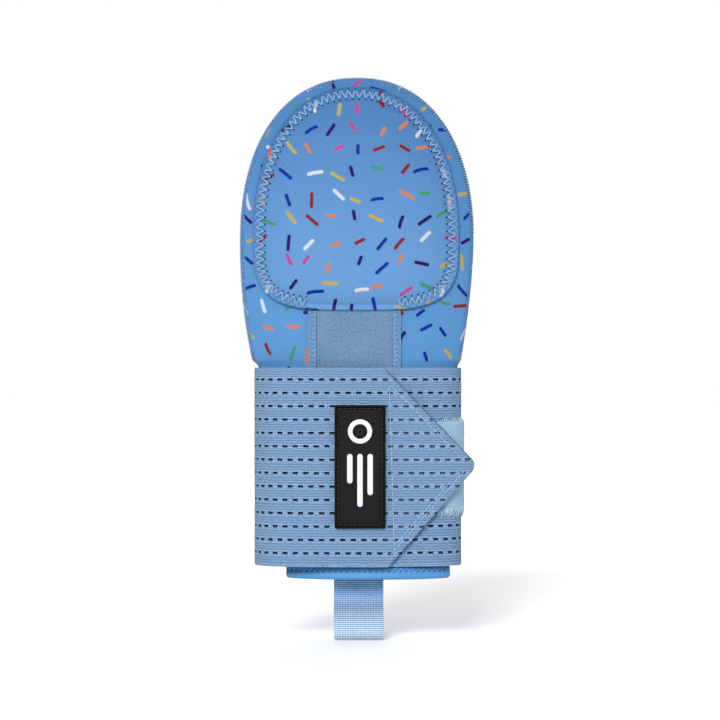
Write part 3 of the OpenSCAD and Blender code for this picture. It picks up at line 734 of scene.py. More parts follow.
covers = neoprene("printed_cover", (0.034, 0.107, 0.250), (0.089, 0.205, 0.398), seam=True)
foam, foam_shader, spot = finish_of("foam", 0.9, specular=0.1)
cells = spot.noise(1400, 3)
look(foam_shader, cells.tint((0.45, 0.42, 0.33), (0.72, 0.69, 0.58)), height=cells, depth=0.0006)
plate, plate_shader, spot = finish_of("guard_plastic", 0.45)
look(plate_shader, spot.noise(300, 4).tint((0.012, 0.012, 0.014), (0.03, 0.03, 0.033)),
     height=spot.noise(2500, 2), depth=0.00004)

for guard_name, guard in guards.items():
    side = -1 if guard_name == "front" else 1
    length = guard_edge(guard, 9)[5]
    teeth = int(round(length / zigzag_pitch))
    pitch = length / teeth
    over = lambda x, z, height: xyz(x, side * (shell_depth(x, z) + height), z)

    # The cover: loose inside its sewn margin, where its filling presses it out
    x, z, d, s, sewn_at = guard_rows(guard, guard_name, 6 * teeth + 1, pitch)
    height = guard_height(guard, x, z, d, s, sewn_at)
    swell = np.zeros_like(x)
    tx, tz, td, ts, t_sewn = guard_rows(guard, guard_name, 141, pitch)
    points = over(tx, tz, guard_height(guard, tx, tz, td, 0 * ts, t_sewn))[margin_rings - 1:, :-1]
    rows, cols = points.shape[:2]
    here, beside = np.arange(cols), np.roll(np.arange(cols), -1)
    faces = [[j * cols + a, j * cols + b, (j + 1) * cols + b, (j + 1) * cols + a]
             for j in range(rows - 2) for a, b in zip(here.tolist(), beside.tolist())]
    last = (rows - 2) * cols
    faces += [[last + a, last + b, last + cols] for a, b in zip(here.tolist(), beside.tolist())]
    points = np.concatenate([points[:-1].reshape(-1, 3), points[-1, :1]])
    moved = swollen(points, faces if side < 0 else [face[::-1] for face in faces], here.tolist())
    rise = np.clip(side * (moved - points)[:, 1], 0, 0.0035)
    rise = np.concatenate([rise[:-1].reshape(rows - 1, cols), np.full((1, cols), rise[-1])])
    rise = np.concatenate([rise, rise[:, :1]], axis=1)
    swell[margin_rings - 1:] = places(np.linspace(0, 1, x.shape[1]), np.linspace(0, 1, cols + 1), rise.T).T
    way_x, way_z = unit(xyz(x[0] - x[1], z[0] - z[1])).T
    roll = [over(x[0] + way_x * out, z[0] + way_z * out, 0.0001 + (height[0] - 0.0001) * part)
            for out, part in ((0.0, 0.08), (0.00032, 0.3), (0.00036, 0.6), (0.0002, 0.88))]
    under = [over(x[k], z[k], 0.0001) for k in (36, 33, 29, 24, 17, 8)]
    grid = np.concatenate([np.stack(under + roll), over(x, z, height + swell)])
    seam = xyz(s, d, sewn_at)
    seam = np.concatenate([np.repeat(seam[:1], len(under + roll), 0), seam])
    seam[:9, :, 2] = 0
    cover = skin(guard_name + "_pad_cloth", grid, 60, weave=xyz(grid[..., 0], grid[..., 2], 0.35 * side), seam=seam)
    dress(cover, covers, "printed_neoprene", guard_name + "_pad_cover")

    core_x, core_z, *_ = guard_rows(guard, guard_name, 121, pitch)
    core_x, core_z = mix(guard.middle_x, core_x, foam_scale), mix(guard.middle_z, core_z, foam_scale)
    crown = np.maximum(dome(guard, core_x, core_z, 0.88, 0.7), 0.0023)
    slab = np.concatenate([over(core_x, core_z, 0.0020)[::-1], over(core_x, core_z, crown)])
    core = skin(guard_name + "_foam_slab", slab)
    dress(core, foam, "foam", guard_name + "_pad_foam")

    # The zigzag: inner holes at whole stitches, outer holes between them
    ex, ez, nx, nz, at, length = guard_edge(guard, 2 * teeth + 1)
    sewn_at = stitched(guard_name, at, length)
    inner, outer = (over(px, pz, guard_height(guard, px, pz, d_in, at / pitch, sewn_at))
                    for px, pz, d_in in ((ex + nx * d, ez + nz * d, d) for d in (seam_in, seam_out)))
    along, aside = xyz(-nz, 0, nx)[1::2], xyz(nx, 0, nz)[1::2]
    outer = outer[1::2] + along * (chance.random((teeth, 1)) - 0.5) * 0.0014
    outer = outer + aside * (chance.random((teeth, 1)) - 0.35) * 0.0012
    normal = hand_normal(outer[:, 0], outer[:, 2], side)
    legs = []
    for holes in (inner[0:-1:2], inner[2::2]):
        for shift_in, shift_out, lift in ((-0.00010, -0.00042, 0.00042), (0.00010, 0.00042, 0.00036)):
            stray = shift_out + (chance.random((teeth, 1)) - 0.5) * 0.0006
            run = stitches(holes + along * shift_in, outer + along * stray, normal, lift, 0.00015)
            legs.append(run[sewn_at[1::2] > 0.6])
    seam_piece = sewn(guard_name + "_pad_zigzag", np.concatenate(legs), (0, side, 0), 0.00014)
    dress(seam_piece, pale_thread, "thread", guard_name + "_pad_stitching")

for name in ("front_guard_plate", "palm_guard_plate"):
    laid_in = bpy.data.objects[name].data.materials
    laid_in.clear()
    laid_in.append(plate)

# ---- Overlocked edge ----
# A fine overlock in thread of the cloth's own blue wraps the two panels' cut edges together, from
# above the strap, over the fingertips and down to the thumb side, where the cloth is folded.
a = np.linspace(math.pi, math.asin((0.176 - widest_z) / (fingertip_z - widest_z)), 30001)
up_z = np.linspace(strap_top + 0.004, widest_z, 4000)
over_tips = xyz(shell_half_w * spow(np.cos(a), arch_n), widest_z + (fingertip_z - widest_z) * spow(np.sin(a), arch_n))
line = np.concatenate([xyz(shell_edge(up_z, -1), up_z), over_tips])
far = lengths(line)
overlock_pitch = 0.0014
at = np.arange(0.0005, far[-1] - 0.0015, overlock_pitch)


def on_edge(at, d, side):
    """A place d in from the shell's edge, at a length along it, on one side."""
    x, z = places(at, far, line).T
    way_x, way_z = unit(places(at + 0.0008, far, line) - places(at - 0.0008, far, line)).T
    x, z = x + way_z * d, z - way_x * d
    y = side * rounded_depth(x, np.minimum(z, fingertip_z - 1e-5)) if side else 0
    return xyz(x, y, z), xyz(-way_z, 0, way_x)


loops = []
for d, side, lift, slip in ((0.0024, -1, -0.0002, 0.0), (0.0017, -1, 0.0001, 0.1), (0.0008, -1, 0.0002, 0.25),
                            (0.0, 0, 0.0001, 0.4), (0.0008, 1, 0.0002, 0.55), (0.0017, 1, 0.0001, 0.7),
                            (0.0024, 1, -0.0002, 0.8)):
    place, out = on_edge(at + slip * overlock_pitch, d, side)
    lean = 0 if side == 0 else 0.8
    out = mix(out, np.array([0, side, 0]), lean)
    loops.append(place + out * lift)
whip = sewn("edge_overlock", np.stack(loops, 1), (0.02, 0.01, 0.03), 0.0004, 6)
dress(whip, cloth_thread, "edge_thread", "edge_stitching")

# ---- Cuff ----
# A strip of bright blue neoprene folded round the wrist opening's lower edge and zigzagged
# through, so that it puffs into a roll below its stitches.
cuff_cloth, cuff_shader, spot = finish_of("cuff_neoprene", 0.5, sheen=0.03, specular=0.25)
cloth = laid(spot)
# Painted shade: the groove under the zigzag, deepest between the stitches, is tinted a darker blue.
groove_shade = laid(spot, "fold").parts()[0]
mottle = cloth.noise(60, 3)
base = mottle.tint((0.045, 0.165, 0.340), (0.064, 0.212, 0.415))
look(cuff_shader, (groove_shade * 0.85).tint(base, (0.018, 0.115, 0.40)), mottle * 0.15 + 0.42,
     knit(cloth, 0.00055) * 0.3 + mottle, 0.0002, 0.5)


def cuff_wall(u):
    return mix(edge_d, shell_half_d, (1 - np.clip(np.abs(u), 0, 1) ** 2.4) ** 0.7)


def outer_cuff(a, off):
    side = np.where(np.sin(a) > 0, 1, -1)
    return cuff_shift + (cuff_half_w + off) * np.cos(a), side * (cuff_wall(np.cos(a)) + off)


def inner_cuff(a, off):
    side = np.where(np.sin(a) > 0, 1, -1)
    x = (cuff_half_w - 0.008 + off) * np.cos(a)
    return cuff_shift + x, side * (cuff_wall(x / cuff_half_w) - shell_t - 0.0016 + off)


def round_cuff(ring, off, count):
    """Angles that lie evenly along the cuff."""
    a = np.linspace(0, 2 * math.pi, 20001)
    far = lengths(xyz(*ring(a, off)))
    return np.interp(np.linspace(0, far[-1], count), far, a), far[-1]


cuff_teeth = 66
angles, cuff_round = round_cuff(outer_cuff, 0.0015, cuff_teeth * 8 + 1)
tooth = np.linspace(0, cuff_teeth, len(angles))
wave = 0.5 + 0.5 * np.cos(2 * math.pi * tooth)
profile = [(0, 0.00020, cuff_h - 0.0002, 0), (0, 0.00090, cuff_h, 0.1), (0, 0.00130, cuff_h - 0.0006, 0.2),
           (0, 0.00105, cuff_h - 0.0011, 0.7), (0, 0.00085, cuff_h - 0.0016, 1.0), (0, 0.00105, cuff_h - 0.0021, 0.6),
           (0, 0.00150, cuff_h - 0.0027, 0.25), (0, 0.00180, cuff_h - 0.0037, 0.0), (0, 0.00185, 0.0022, 0.0),
           (0, 0.00165, 0.0012, 0), (0, 0.0012, 0.0005, 0), (0, 0.0004, 0.0001, 0),
           (1, -0.0002, 0.0001, 0), (1, -0.0006, 0.0005, 0), (1, -0.0008, 0.0014, 0), (1, -0.0008, cuff_h - 0.0014, 0),
           (1, -0.0006, cuff_h - 0.001, 0), (1, -0.0001, cuff_h - 0.001, 0), (1, -0.0001, 0.0014, 0),
           (0, 0.0002, 0.0014, 0)]
# The last number of each profile row sets how far that row ripples and how much painted shade it takes in the groove.
rings, groove_shades = [], []
for inside, off, z, fold in profile + profile[:1]:
    x, y = (inner_cuff if inside else outer_cuff)(angles, off + (0.00035 * (wave - 0.5) if fold > 0.1 else 0))
    rings.append(xyz(x, y, z + (0.0003 * (wave - 0.5) if fold > 0.5 else 0)))
    groove_shades.append(xyz(fold * (0.35 + 0.65 * (1 - wave)), 0, 0))
grid = np.stack(rings)
weave = xyz(tooth / cuff_teeth * cuff_round, grid[..., 2], 0)
roll = skin("cuff_roll", grid, 60, weave=weave, fold=np.stack(groove_shades))
dress(roll, cuff_cloth, "cuff_neoprene", "cuff_binding")

bright_thread = twisted_thread("cuff_thread", (0.05, 0.21, 0.52), (0.16, 0.40, 0.74))
at = round_cuff(outer_cuff, 0.0015, 2 * cuff_teeth + 1)[0]


def on_cuff(a, off, z):
    return xyz(*outer_cuff(a, off), z)


way_out = unit(on_cuff(at, 0.003, 0) - on_cuff(at, 0.002, 0))[1::2]
low_holes, high_holes = on_cuff(at, 0.0013, cuff_h - 0.0024), on_cuff(at, 0.0012, cuff_h - 0.0004)[1::2]
cuff_legs = np.concatenate([stitches(low_holes[0:-1:2], high_holes, way_out, 0.0005),
                            stitches(high_holes, low_holes[2::2], way_out, 0.0005)])
dress(sewn("cuff_zigzag", cuff_legs, (0.01, 0.02, 1), 0.0003), bright_thread, "thread", "cuff_stitching")

# ---- Wrist strap ----
# One length of 102 mm ribbed elastic with rows of small eyelets, sewn to the palm. It runs round
# the thumb side under the hook end, and the other way over the back of the hand.
ring_n = 3
strap_in_w = strap_half_w - elastic_t
front_ring_d = shell_half_d + 0.0023
back_ring_d = shell_half_d + 0.0007
tip_in_d = front_ring_d + elastic_t + 0.0022
flap_rise = tip_in_d - front_ring_d
tip_start = 0.0145
tip_mid_z = 0.0589
tip_r = 0.005
tip_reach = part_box("strap_tip")[1].x
tip_mid_x = tip_reach - tip_r
up_angle, low_angle = math.radians(44), math.radians(-41.5)
eyelet_pitch, row_pitch, first_row, eyelet_rows = 0.00535, 0.00684, 0.0141, 14
hem = 0.0006


def ring_at(t, off):
    return xyz(strap_shift + (strap_in_w + off) * spow(np.cos(t), ring_n),
               (np.where(np.sin(t) > 0, back_ring_d, front_ring_d) + off) * spow(np.sin(t), ring_n))


def ring_angle(x, off=0.0):
    return math.acos((abs(x - strap_shift) / (strap_in_w + off)) ** (ring_n / 2))


def tip_depth(x):
    return tip_in_d * arch(x / 0.072, ring_n)


def slope_top(x):
    """The sloping upper edge of the strap's end."""
    run = (tip_mid_x + tip_r * math.cos(up_angle) - x) / math.sin(up_angle)
    return tip_mid_z + tip_r * math.sin(up_angle) + run * math.cos(up_angle)


def slope_bottom(x):
    run = (tip_mid_x + tip_r * math.cos(low_angle) - x) / math.sin(-low_angle)
    return tip_mid_z + tip_r * math.sin(low_angle) - run * math.cos(low_angle)


# Ribbed elastic: pale and dark yarns zigzag over rubber cords, with rows of eyelets painted near
# black, as painted shade in the holes
strap_cloth, strap_shader, spot = finish_of("elastic", 0.7, sheen=0.03, specular=0.12)
cloth = laid(spot)
u, v, eyelet_fade_and_slope_shadow = cloth.parts()
stray = cloth.noise(260, 3)
rib = (v + (stray - 0.5) * 0.0004).wave(0.00136)
zig = ((u / 0.0014).maths("FRACT") - 0.5).maths("ABSOLUTE")
yarn = (v + zig * 0.0017).wave(0.00085)
fleck = cloth.vector("MULTIPLY", (1600, 1600, 0)).noise(1.0, 1)
place = (v - first_row) / row_pitch + 0.5
odd = (place.maths("FLOOR") * 0.5).maths("FRACT") * 2
across = (u / eyelet_pitch + odd * 0.5).maths("FRACT") - 0.5
up = ((place.maths("FRACT") - 0.5) * row_pitch + (stray - 0.5) * 0.0005).maths("ABSOLUTE")
far = ((across * eyelet_pitch).maths("ABSOLUTE") - 0.00075).maths("MAXIMUM", up)
eyelet = far.ramp(0.00066, 0.00054) * v.ramp(0.0105, 0.0115) * v.ramp(0.1058, 0.1048)
woven = up.ramp(0.0018, 0.0010)
tone = rib * 0.20 + yarn * 0.40 + fleck * 0.52 + woven * (fleck - 0.40) * 1.1
base = tone.ramp(0.24, 0.84).tint((0.013, 0.042, 0.102), (0.208, 0.318, 0.470))
base = (cloth.noise(25) * 0.25).tint(base, (0.10, 0.22, 0.44))
# Painted shadow: a dark band along the upper sloping edge of the pointed end.
base = (eyelet_fade_and_slope_shadow.ramp(0.4, 0.9) * 0.85).tint(base, (0.010, 0.026, 0.070))
# Painted shade: the eyelets are coloured near black, and fainter where the eyelet fade is set.
look(strap_shader, (eyelet * (1 - eyelet_fade_and_slope_shadow) * 0.96).tint(base, (0.003, 0.005, 0.016)), stray * 0.2 + 0.6,
     rib * 0.9 + yarn * 0.4 + woven * 0.3 - eyelet * 1.5, 0.00035, 0.8)


def eyelet_columns(u0, u1):
    """Places along the strap at the ends of every eyelet, and some between."""
    k = np.arange(math.floor(u0 / eyelet_pitch) - 1, math.ceil(u1 / eyelet_pitch) + 2)
    ends = (-0.0012, 0.0012, eyelet_pitch / 2 - 0.0012, eyelet_pitch / 2 + 0.0012)
    at = np.unique(np.round(np.concatenate([k * eyelet_pitch + end for end in ends]), 7))
    return np.concatenate([[u0], at[(at > u0 + 0.0001) & (at < u1 - 0.0001)], [u1]])


def eyelet_band(name, inner_at, outer_at, u0, u1, top=None):
    """A length of the elastic from u0 to u1, its eyelets sunk in; inner_at and outer_at give its faces."""
    u = eyelet_columns(u0, u1)
    z = [strap_bottom, strap_bottom + hem]
    for k in range(eyelet_rows):
        z += [first_row + k * row_pitch + off for off in (-0.0021, -0.00046, 0.00046, 0.0021)]
    uu, zz = np.meshgrid(u, z + [strap_top - hem, strap_top])
    if top is not None:
        zz = np.minimum(zz, top(uu))
    edge = np.clip(np.minimum(zz - strap_bottom, strap_top - zz) / hem, 0, 1)
    soft = (1 - np.sqrt(1 - (1 - edge) ** 2)) * 0.0004
    place = lambda path, shift: np.concatenate([path(uu, shift), zz[..., None]], -1).reshape(-1, 3)
    deep = place(outer_at, np.full_like(uu, -0.0009))
    flat = xyz(uu, zz, 0).reshape(-1, 3)
    rows, cols = uu.shape
    count = rows * cols
    points, weave = [place(inner_at, 0 * soft), place(outer_at, -soft)], [flat, flat]
    faces, front_faces = grid_faces(rows, cols), grid_faces(rows, cols, count)
    start = 2 * count
    mid_u = (u[:-1] + u[1:]) / 2
    for k in range(eyelet_rows):
        j = 2 + 4 * k + 1
        centre = mid_u / eyelet_pitch + (0.5 if k % 2 else 0.0)
        off = np.abs(centre - np.floor(centre) - 0.5) * eyelet_pitch
        for i in np.nonzero((off < 0.0003) & (np.diff(u) > 0.002))[0]:
            a = j * cols + i
            loop = [a, a + 1, a + cols + 1, a + cols]
            front_faces[j * (cols - 1) + i] = None
            points.append(deep[loop])
            weave.append(flat[loop])
            up = [count + q for q in loop]
            down = [start, start + 1, start + 2, start + 3]
            faces += [[up[q], up[(q + 1) % 4], down[(q + 1) % 4], down[q]] for q in range(4)] + [down]
            start += 4
    faces += [face for face in front_faces if face is not None] + rim_faces(rows, cols)
    return new_piece(name, np.concatenate(points), faces, 40, weave=np.concatenate(weave))


def way_round(t0, t1, lift):
    """The strap's path from angle t0 to t1: its length, and its faces at a length along it."""
    t = np.linspace(t0, t1, 6001)
    inner, outer = ring_at(t, lift(t)), ring_at(t, lift(t) + elastic_t)
    far = lengths((inner + outer) / 2)
    way = unit(outer - inner)
    face = lambda line: lambda u, shift: places(u, far, line) + places(u, far, way) * shift[..., None]
    return far[-1], face(inner), face(outer)


# Under layer: from its end on the back of the hand, round the thumb side, to the palm seam
under_len, inner_at, outer_at = way_round(-ring_angle(0.008), math.pi / 2, lambda t: 0 * t)
root = eyelet_band("strap_under_layer", inner_at, outer_at, 0, under_len)
dress(root, strap_cloth, "elastic", "wrist_strap")

# Upper layer: from the palm seam, round the little-finger side, over the back of the hand
flap_end = 2 * math.pi - ring_angle(tip_start, flap_rise + elastic_t)
flap_len, inner_at, outer_at = way_round(math.pi / 2, flap_end,
                                         lambda t: flap_rise * ease((t - math.radians(190)) / math.radians(50)))
from_tip = lambda path: lambda u, shift: path(u + flap_len, shift)
flap = eyelet_band("strap_flap_elastic", from_tip(inner_at), from_tip(outer_at), -flap_len, 0,
                   top=lambda u: np.where(u > -0.01, slope_top(tip_start + u), strap_top))
dress(flap, strap_cloth, "elastic", "strap_flap", body=None)
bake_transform(flap)

# Pointed end, faced with hook tape behind, so its eyelets are half closed
end_x = np.concatenate([np.linspace(tip_start, tip_mid_x, 60),
                        tip_mid_x + tip_r * np.sin(np.linspace(0.06, math.pi / 2, 14)) * 0.9995])
beyond = np.clip(end_x - tip_mid_x, 0, tip_r)
arc = np.sqrt(np.maximum(tip_r**2 - beyond**2, 0))
end_top = np.where(end_x < tip_mid_x + tip_r * math.cos(up_angle), np.minimum(slope_top(end_x), strap_top),
                   tip_mid_z + arc)
end_bottom = np.where(end_x < tip_mid_x + tip_r * math.cos(low_angle), np.maximum(slope_bottom(end_x), strap_bottom),
                      tip_mid_z - arc)
f = (eased_steps(61) + np.linspace(0, 1, 61)) / 2
x, z = np.broadcast_arrays(end_x[:, None], mix(end_bottom[:, None], end_top[:, None], f))
near = tip_depth(x)
to_edge = np.minimum(np.minimum(z - end_bottom[:, None], end_top[:, None] - z), (tip_reach - x))
soft = 0.0005 * (1 - np.sqrt(np.clip(1 - (1 - np.clip(to_edge / 0.0007, 0, 1)) ** 2, 0, 1)))
near_join = np.clip((x - tip_start) / 0.004, 0, 1)
# Painted shadow: the third weave number darkens the elastic along the upper sloping edge; its small share near the
# join only fades the eyelets.
upper_slope_shadow = np.clip(1.3 - (end_top[:, None] - z) / 0.0010, 0, 1) * (x > tip_start + 0.0001)
far = lengths(xyz(end_x, tip_depth(end_x)))[:, None]
weave = xyz(far, z, np.maximum(0.12 * near_join, 0.95 * upper_slope_shadow))
tip = closed_sheet("strap_tip_elastic", xyz(x, -near, z), xyz(x, -(near + elastic_t - soft), z), weave)
dress(tip, strap_cloth, "elastic", "strap_tip", body=None)
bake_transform(tip)

# ---- Hook tape ----
# A stiff panel of fine nylon hooks behind the pointed end, seamed on along its three sides.
hook_low, hook_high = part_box("hook_patch")
hooks, hook_shader, spot = finish_of("hook_tape", 0.5, specular=0.4)
cloth = laid(spot)
u, v, _ = cloth.parts()
hook = u.wave(0.0011) * v.wave(0.0013)
look(hook_shader, hook.tint((0.06, 0.13, 0.25), (0.22, 0.36, 0.56)), cloth.noise(300) * 0.2 + 0.4, hook, 0.0006)
hx = np.linspace(hook_low.x + 0.0005, hook_high.x, 40)
inset = 0.0036
top, bottom = slope_top(hx) - inset / math.sin(up_angle), slope_bottom(hx) + inset / math.sin(-low_angle)
tall = np.maximum(top - bottom, 0.0004)
z = (top + bottom)[:, None] / 2 + tall[:, None] * np.linspace(-0.5, 0.5, 41)
near, far = (xyz(hx[:, None], off - tip_depth(hx)[:, None], z) for off in (0.0003, 0.0012))
tape = closed_sheet("hook_tape_panel", near, far, xyz(hx[:, None], z, 0))
dress(tape, hooks, "hook_tape", "hook_patch", body="tip")

on_tip = lambda x, z: xyz(x, -(tip_depth(x) + elastic_t + 0.00005), z)
x = np.linspace(0.0172, tip_reach - 0.0052, 160)
x2 = np.linspace(0.0185, tip_reach - 0.012, 160)
lines = [on_tip(np.linspace(0.0192, 0.0166, 160), np.linspace(0.0148, 0.0996, 160)),
         on_tip(x, slope_top(x) - 0.0037 / math.sin(up_angle)),
         on_tip(x, slope_bottom(x) + 0.0034 / math.sin(-low_angle)),
         on_tip(x2, slope_bottom(x2) + 0.0050 / math.sin(-low_angle))]
seams = np.concatenate([straight_seam(line, forwards, 0.0026, 0.00035, 0.16) for line in lines])
dress(sewn("tip_seams", seams, forwards, 0.00027), pale_thread, "thread", "tip_stitching", body="tip")

# ---- Palm seam ----
# A boxed seam through both ends of the elastic fastens the strap to the palm.
palm_d = back_ring_d + elastic_t
on_palm = lambda x, z: xyz(x, palm_d * arch((x - strap_shift) / strap_half_w, ring_n) + 0.00005, z)
z0, z1, w = strap_bottom + 0.008, strap_top - 0.008, 0.014
lines = [on_palm(x, np.linspace(z0, z1, 60)) for x in (-w, -w + 0.003, w - 0.003, w)]
lines += [on_palm(np.linspace(-w, w, 60), z) for z in (z0, z1)]
box = np.concatenate([straight_seam(line, backwards, 0.0026, 0.00035, 0.16) for line in lines])
dress(sewn("palm_box_seam", box, backwards, 0.00027), pale_thread, "thread", "strap_anchor_stitching")

# ---- Loop panel ----
# Pale brushed loop cloth, sewn to the strap on the thumb side, where the hooks hold.
panel_low, panel_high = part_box("loop_panel")
loop_cloth, loop_shader, spot = finish_of("loop_cloth", 0.75, sheen=0.1, specular=0.2)
cloth = laid(spot)
nap = cloth.vector("MULTIPLY", (1, 0.35, 1)).noise(1500, 3)
look(loop_shader, (nap * 0.7 + cloth.noise(70) * 0.3).tint((0.150, 0.270, 0.375), (0.235, 0.365, 0.465)),
     nap * 0.3 + 0.55, nap, 0.0003, 0.7)
t = np.linspace(-ring_angle(0.039), math.radians(40), 4001)
far = lengths(ring_at(t, elastic_t + ply_gap))
along = np.linspace(0, far[-1], 90)
t = np.interp(along, far, t)
rows = np.concatenate([[panel_low.z, panel_low.z + 0.0004],
                       np.linspace(panel_low.z + 0.0012, panel_high.z - 0.0012, 30),
                       [panel_high.z - 0.0004, panel_high.z]])
tt, z = np.meshgrid(t, rows)
edge = np.clip(np.minimum(z - panel_low.z, panel_high.z - z) / 0.0008, 0, 1)
thick = 0.0012 * (0.35 + 0.65 * np.sqrt(1 - (1 - edge) ** 2)) + 0.00006 * np.sin(z * 900) * np.sin(tt * 40)
inner, outer = (np.concatenate([ring_at(tt, elastic_t + ply_gap + off), z[..., None]], -1) for off in (0, thick))
panel = closed_sheet("loop_cloth_panel", inner, outer, xyz(along, z, 0))
dress(panel, loop_cloth, "loop_cloth", "loop_panel")


def beside_panel(u, off, z):
    """Places round the thumb side, u along the panel, off the strap's face."""
    return xyz(*ring_at(np.interp(u, along, t), elastic_t + off).T, z)


u = np.arange(0.0008, far[-1] - 0.0008, 0.00115)
out = unit(beside_panel(u, 0.002, 0) - beside_panel(u, 0.001, 0))
fringe = []
for slip, rise, reach in ((0, 0.0010, 0.0046), (0.0005, 0.0006, 0.0058)):
    stray = slip + (chance.random(len(u)) - 0.5) * 0.0016
    hang = reach * (0.75 + 0.35 * chance.random(len(u)))
    a, b = beside_panel(u + slip, 0.0013, panel_low.z + rise), beside_panel(u + stray, 0.0003, panel_low.z - hang)
    fringe.append(stitches(a, b, out, 0.0005, 0.0001))
a, b = beside_panel(u, 0.0014, panel_high.z - 0.0012), beside_panel(u + 0.0004, 0.0001, panel_high.z + 0.0016)
fringe.append(stitches(a, b, out, 0.00035, 0.0001))
fringe_thread = twisted_thread("fringe_thread", (0.20, 0.32, 0.44), (0.46, 0.58, 0.66))
dress(sewn("panel_fringe", np.concatenate(fringe), (0.3, -0.9, 0.1), 0.00021, 4), fringe_thread, "thread",
      "loop_panel_stitching")
a, b = beside_panel(u + 0.0003, 0.0006, panel_low.z), beside_panel(u + 0.0008, 0.0002, panel_low.z - 0.0034)
under = stitches(a, b, out, 0.0002, 0.0001)
dress(sewn("panel_hem_threads", under, (0.3, -0.9, 0.1), 0.00028, 4), bright_thread, "thread")

# ---- Rubber patch ----
# A moulded soft rubber badge with a raised rim and a recessed field, sewn on through a groove just
# inside the rim. It carries a plain ring over three bars.
patch_low, patch_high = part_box("rubber_patch")
rubber, rubber_shader, spot = finish_of("black_rubber", 0.6, specular=0.06)
grain = spot.noise(2200, 2)
dust = spot.noise(120, 4)
patch_mid = (patch_low + patch_high) / 2
patch_size = patch_high - patch_low
across, _, up = spot.vector("SUBTRACT", patch_mid).parts()
field = (across.maths("ABSOLUTE") - patch_size.x / 2).maths("MAXIMUM", up.maths("ABSOLUTE") - patch_size.z / 2)
charcoal = (dust * 0.7 + grain * 0.3).tint((0.0042, 0.0034, 0.0045), (0.0090, 0.0076, 0.0096))
look(rubber_shader, field.ramp(-0.0022, -0.0026).tint((0.0016, 0.0016, 0.0020), charcoal),
     grain * 0.2 + dust * 0.2 + 0.36, grain, 0.00006)

bpy.ops.object.select_all(action="DESELECT")
bpy.ops.mesh.primitive_cube_add(size=1, location=patch_mid, scale=patch_size)
badge = bpy.context.object
badge.name = "rubber_badge"
bpy.ops.object.transform_apply(location=True, scale=True)


def take(piece):
    """Selects one piece and makes it the active one."""
    bpy.ops.object.select_all(action="DESELECT")
    bpy.context.view_layer.objects.active = piece
    piece.select_set(True)


def edit(piece, kind, parts, test):
    """Goes into edit mode with only the faces or edges that pass the test selected."""
    take(piece)
    bpy.ops.object.mode_set(mode="EDIT")
    bpy.ops.mesh.select_mode(type=kind)
    bpy.ops.mesh.select_all(action="DESELECT")
    bpy.ops.object.mode_set(mode="OBJECT")
    for part in parts:
        part.select = test(part)
    bpy.ops.object.mode_set(mode="EDIT")


def round_corners(piece, least, offset, segments):
    """Rounds the corners of an upright block: its edges along Y that are longer than least."""
    def upright(edge):
        a, b = (piece.data.vertices[k].co for k in edge.vertices)
        return abs(a.y - b.y) > least and abs(a.x - b.x) < 1e-5

    edit(piece, "EDGE", piece.data.edges, upright)
    bpy.ops.mesh.bevel(offset=offset, segments=segments)
    bpy.ops.object.mode_set(mode="OBJECT")


def finish_edges(piece, width, segments):
    """Softens the hard edges and shades the piece smooth."""
    soften = piece.modifiers.new("soften", "BEVEL")
    soften.width = width
    soften.segments = segments
    soften.limit_method = "ANGLE"
    soften.angle_limit = math.radians(35)
    take(piece)
    bpy.ops.object.modifier_apply(modifier=soften.name)
    bpy.ops.object.shade_smooth_by_angle(angle=math.radians(40))


edit(badge, "FACE", badge.data.polygons, lambda face: face.normal.y < -0.9)
for thickness, depth in ((0.0012, 0), (0.00015, -0.0010), (0.0009, 0), (0.0002, 0.0004), (0.0012, 0)):
    bpy.ops.mesh.inset(thickness=thickness, depth=depth)
bpy.ops.object.mode_set(mode="OBJECT")
round_corners(badge, 0.0015, 0.0009, 4)
finish_edges(badge, 0.00018, 3)
dress(badge, rubber, "black_rubber", "rubber_patch", body="flap")

groove = []
in_by = 0.0018
x0, x1, z0, z1 = patch_low.x + in_by, patch_high.x - in_by, patch_low.z + in_by, patch_high.z - in_by
corners = [(x0, z0), (x0, z1), (x1, z1), (x1, z0), (x0, z0)]
for a, b in zip(corners[:-1], corners[1:]):
    x, z = np.linspace(a, b, 30).T
    groove.append(straight_seam(xyz(x, patch_low.y + 0.00095, z), forwards, 0.0024, 0.00038, 0.2))
black_thread = twisted_thread("black_thread", (0.004, 0.004, 0.005), (0.035, 0.034, 0.038), 0.0006)
dress(sewn("badge_seam", np.concatenate(groove), forwards, 0.0003), black_thread, "black_thread", "patch_stitching",
      body="flap")

# ---- Badge emblem ----
# The white ring and bars are moulded in a second colour and stand a little off the field.
white, white_shader, spot = finish_of("white_rubber", 0.45, specular=0.4)
grain = spot.noise(1500, 2)
look(white_shader, grain.tint((0.46, 0.47, 0.485), (0.53, 0.54, 0.555)), grain * 0.2 + 0.38, grain, 0.00004)
emblem_t = 0.0006
emblem_y = patch_low.y + 0.00035 + emblem_t / 2
ring_z, bars_top = patch_high.z - 0.0135, patch_low.z + 0.038


def raised(name, piece):
    piece.name = name
    bpy.ops.object.transform_apply(location=True, rotation=True, scale=True)
    finish_edges(piece, 0.00014, 2)
    dress(piece, white, "white_rubber", body="flap")


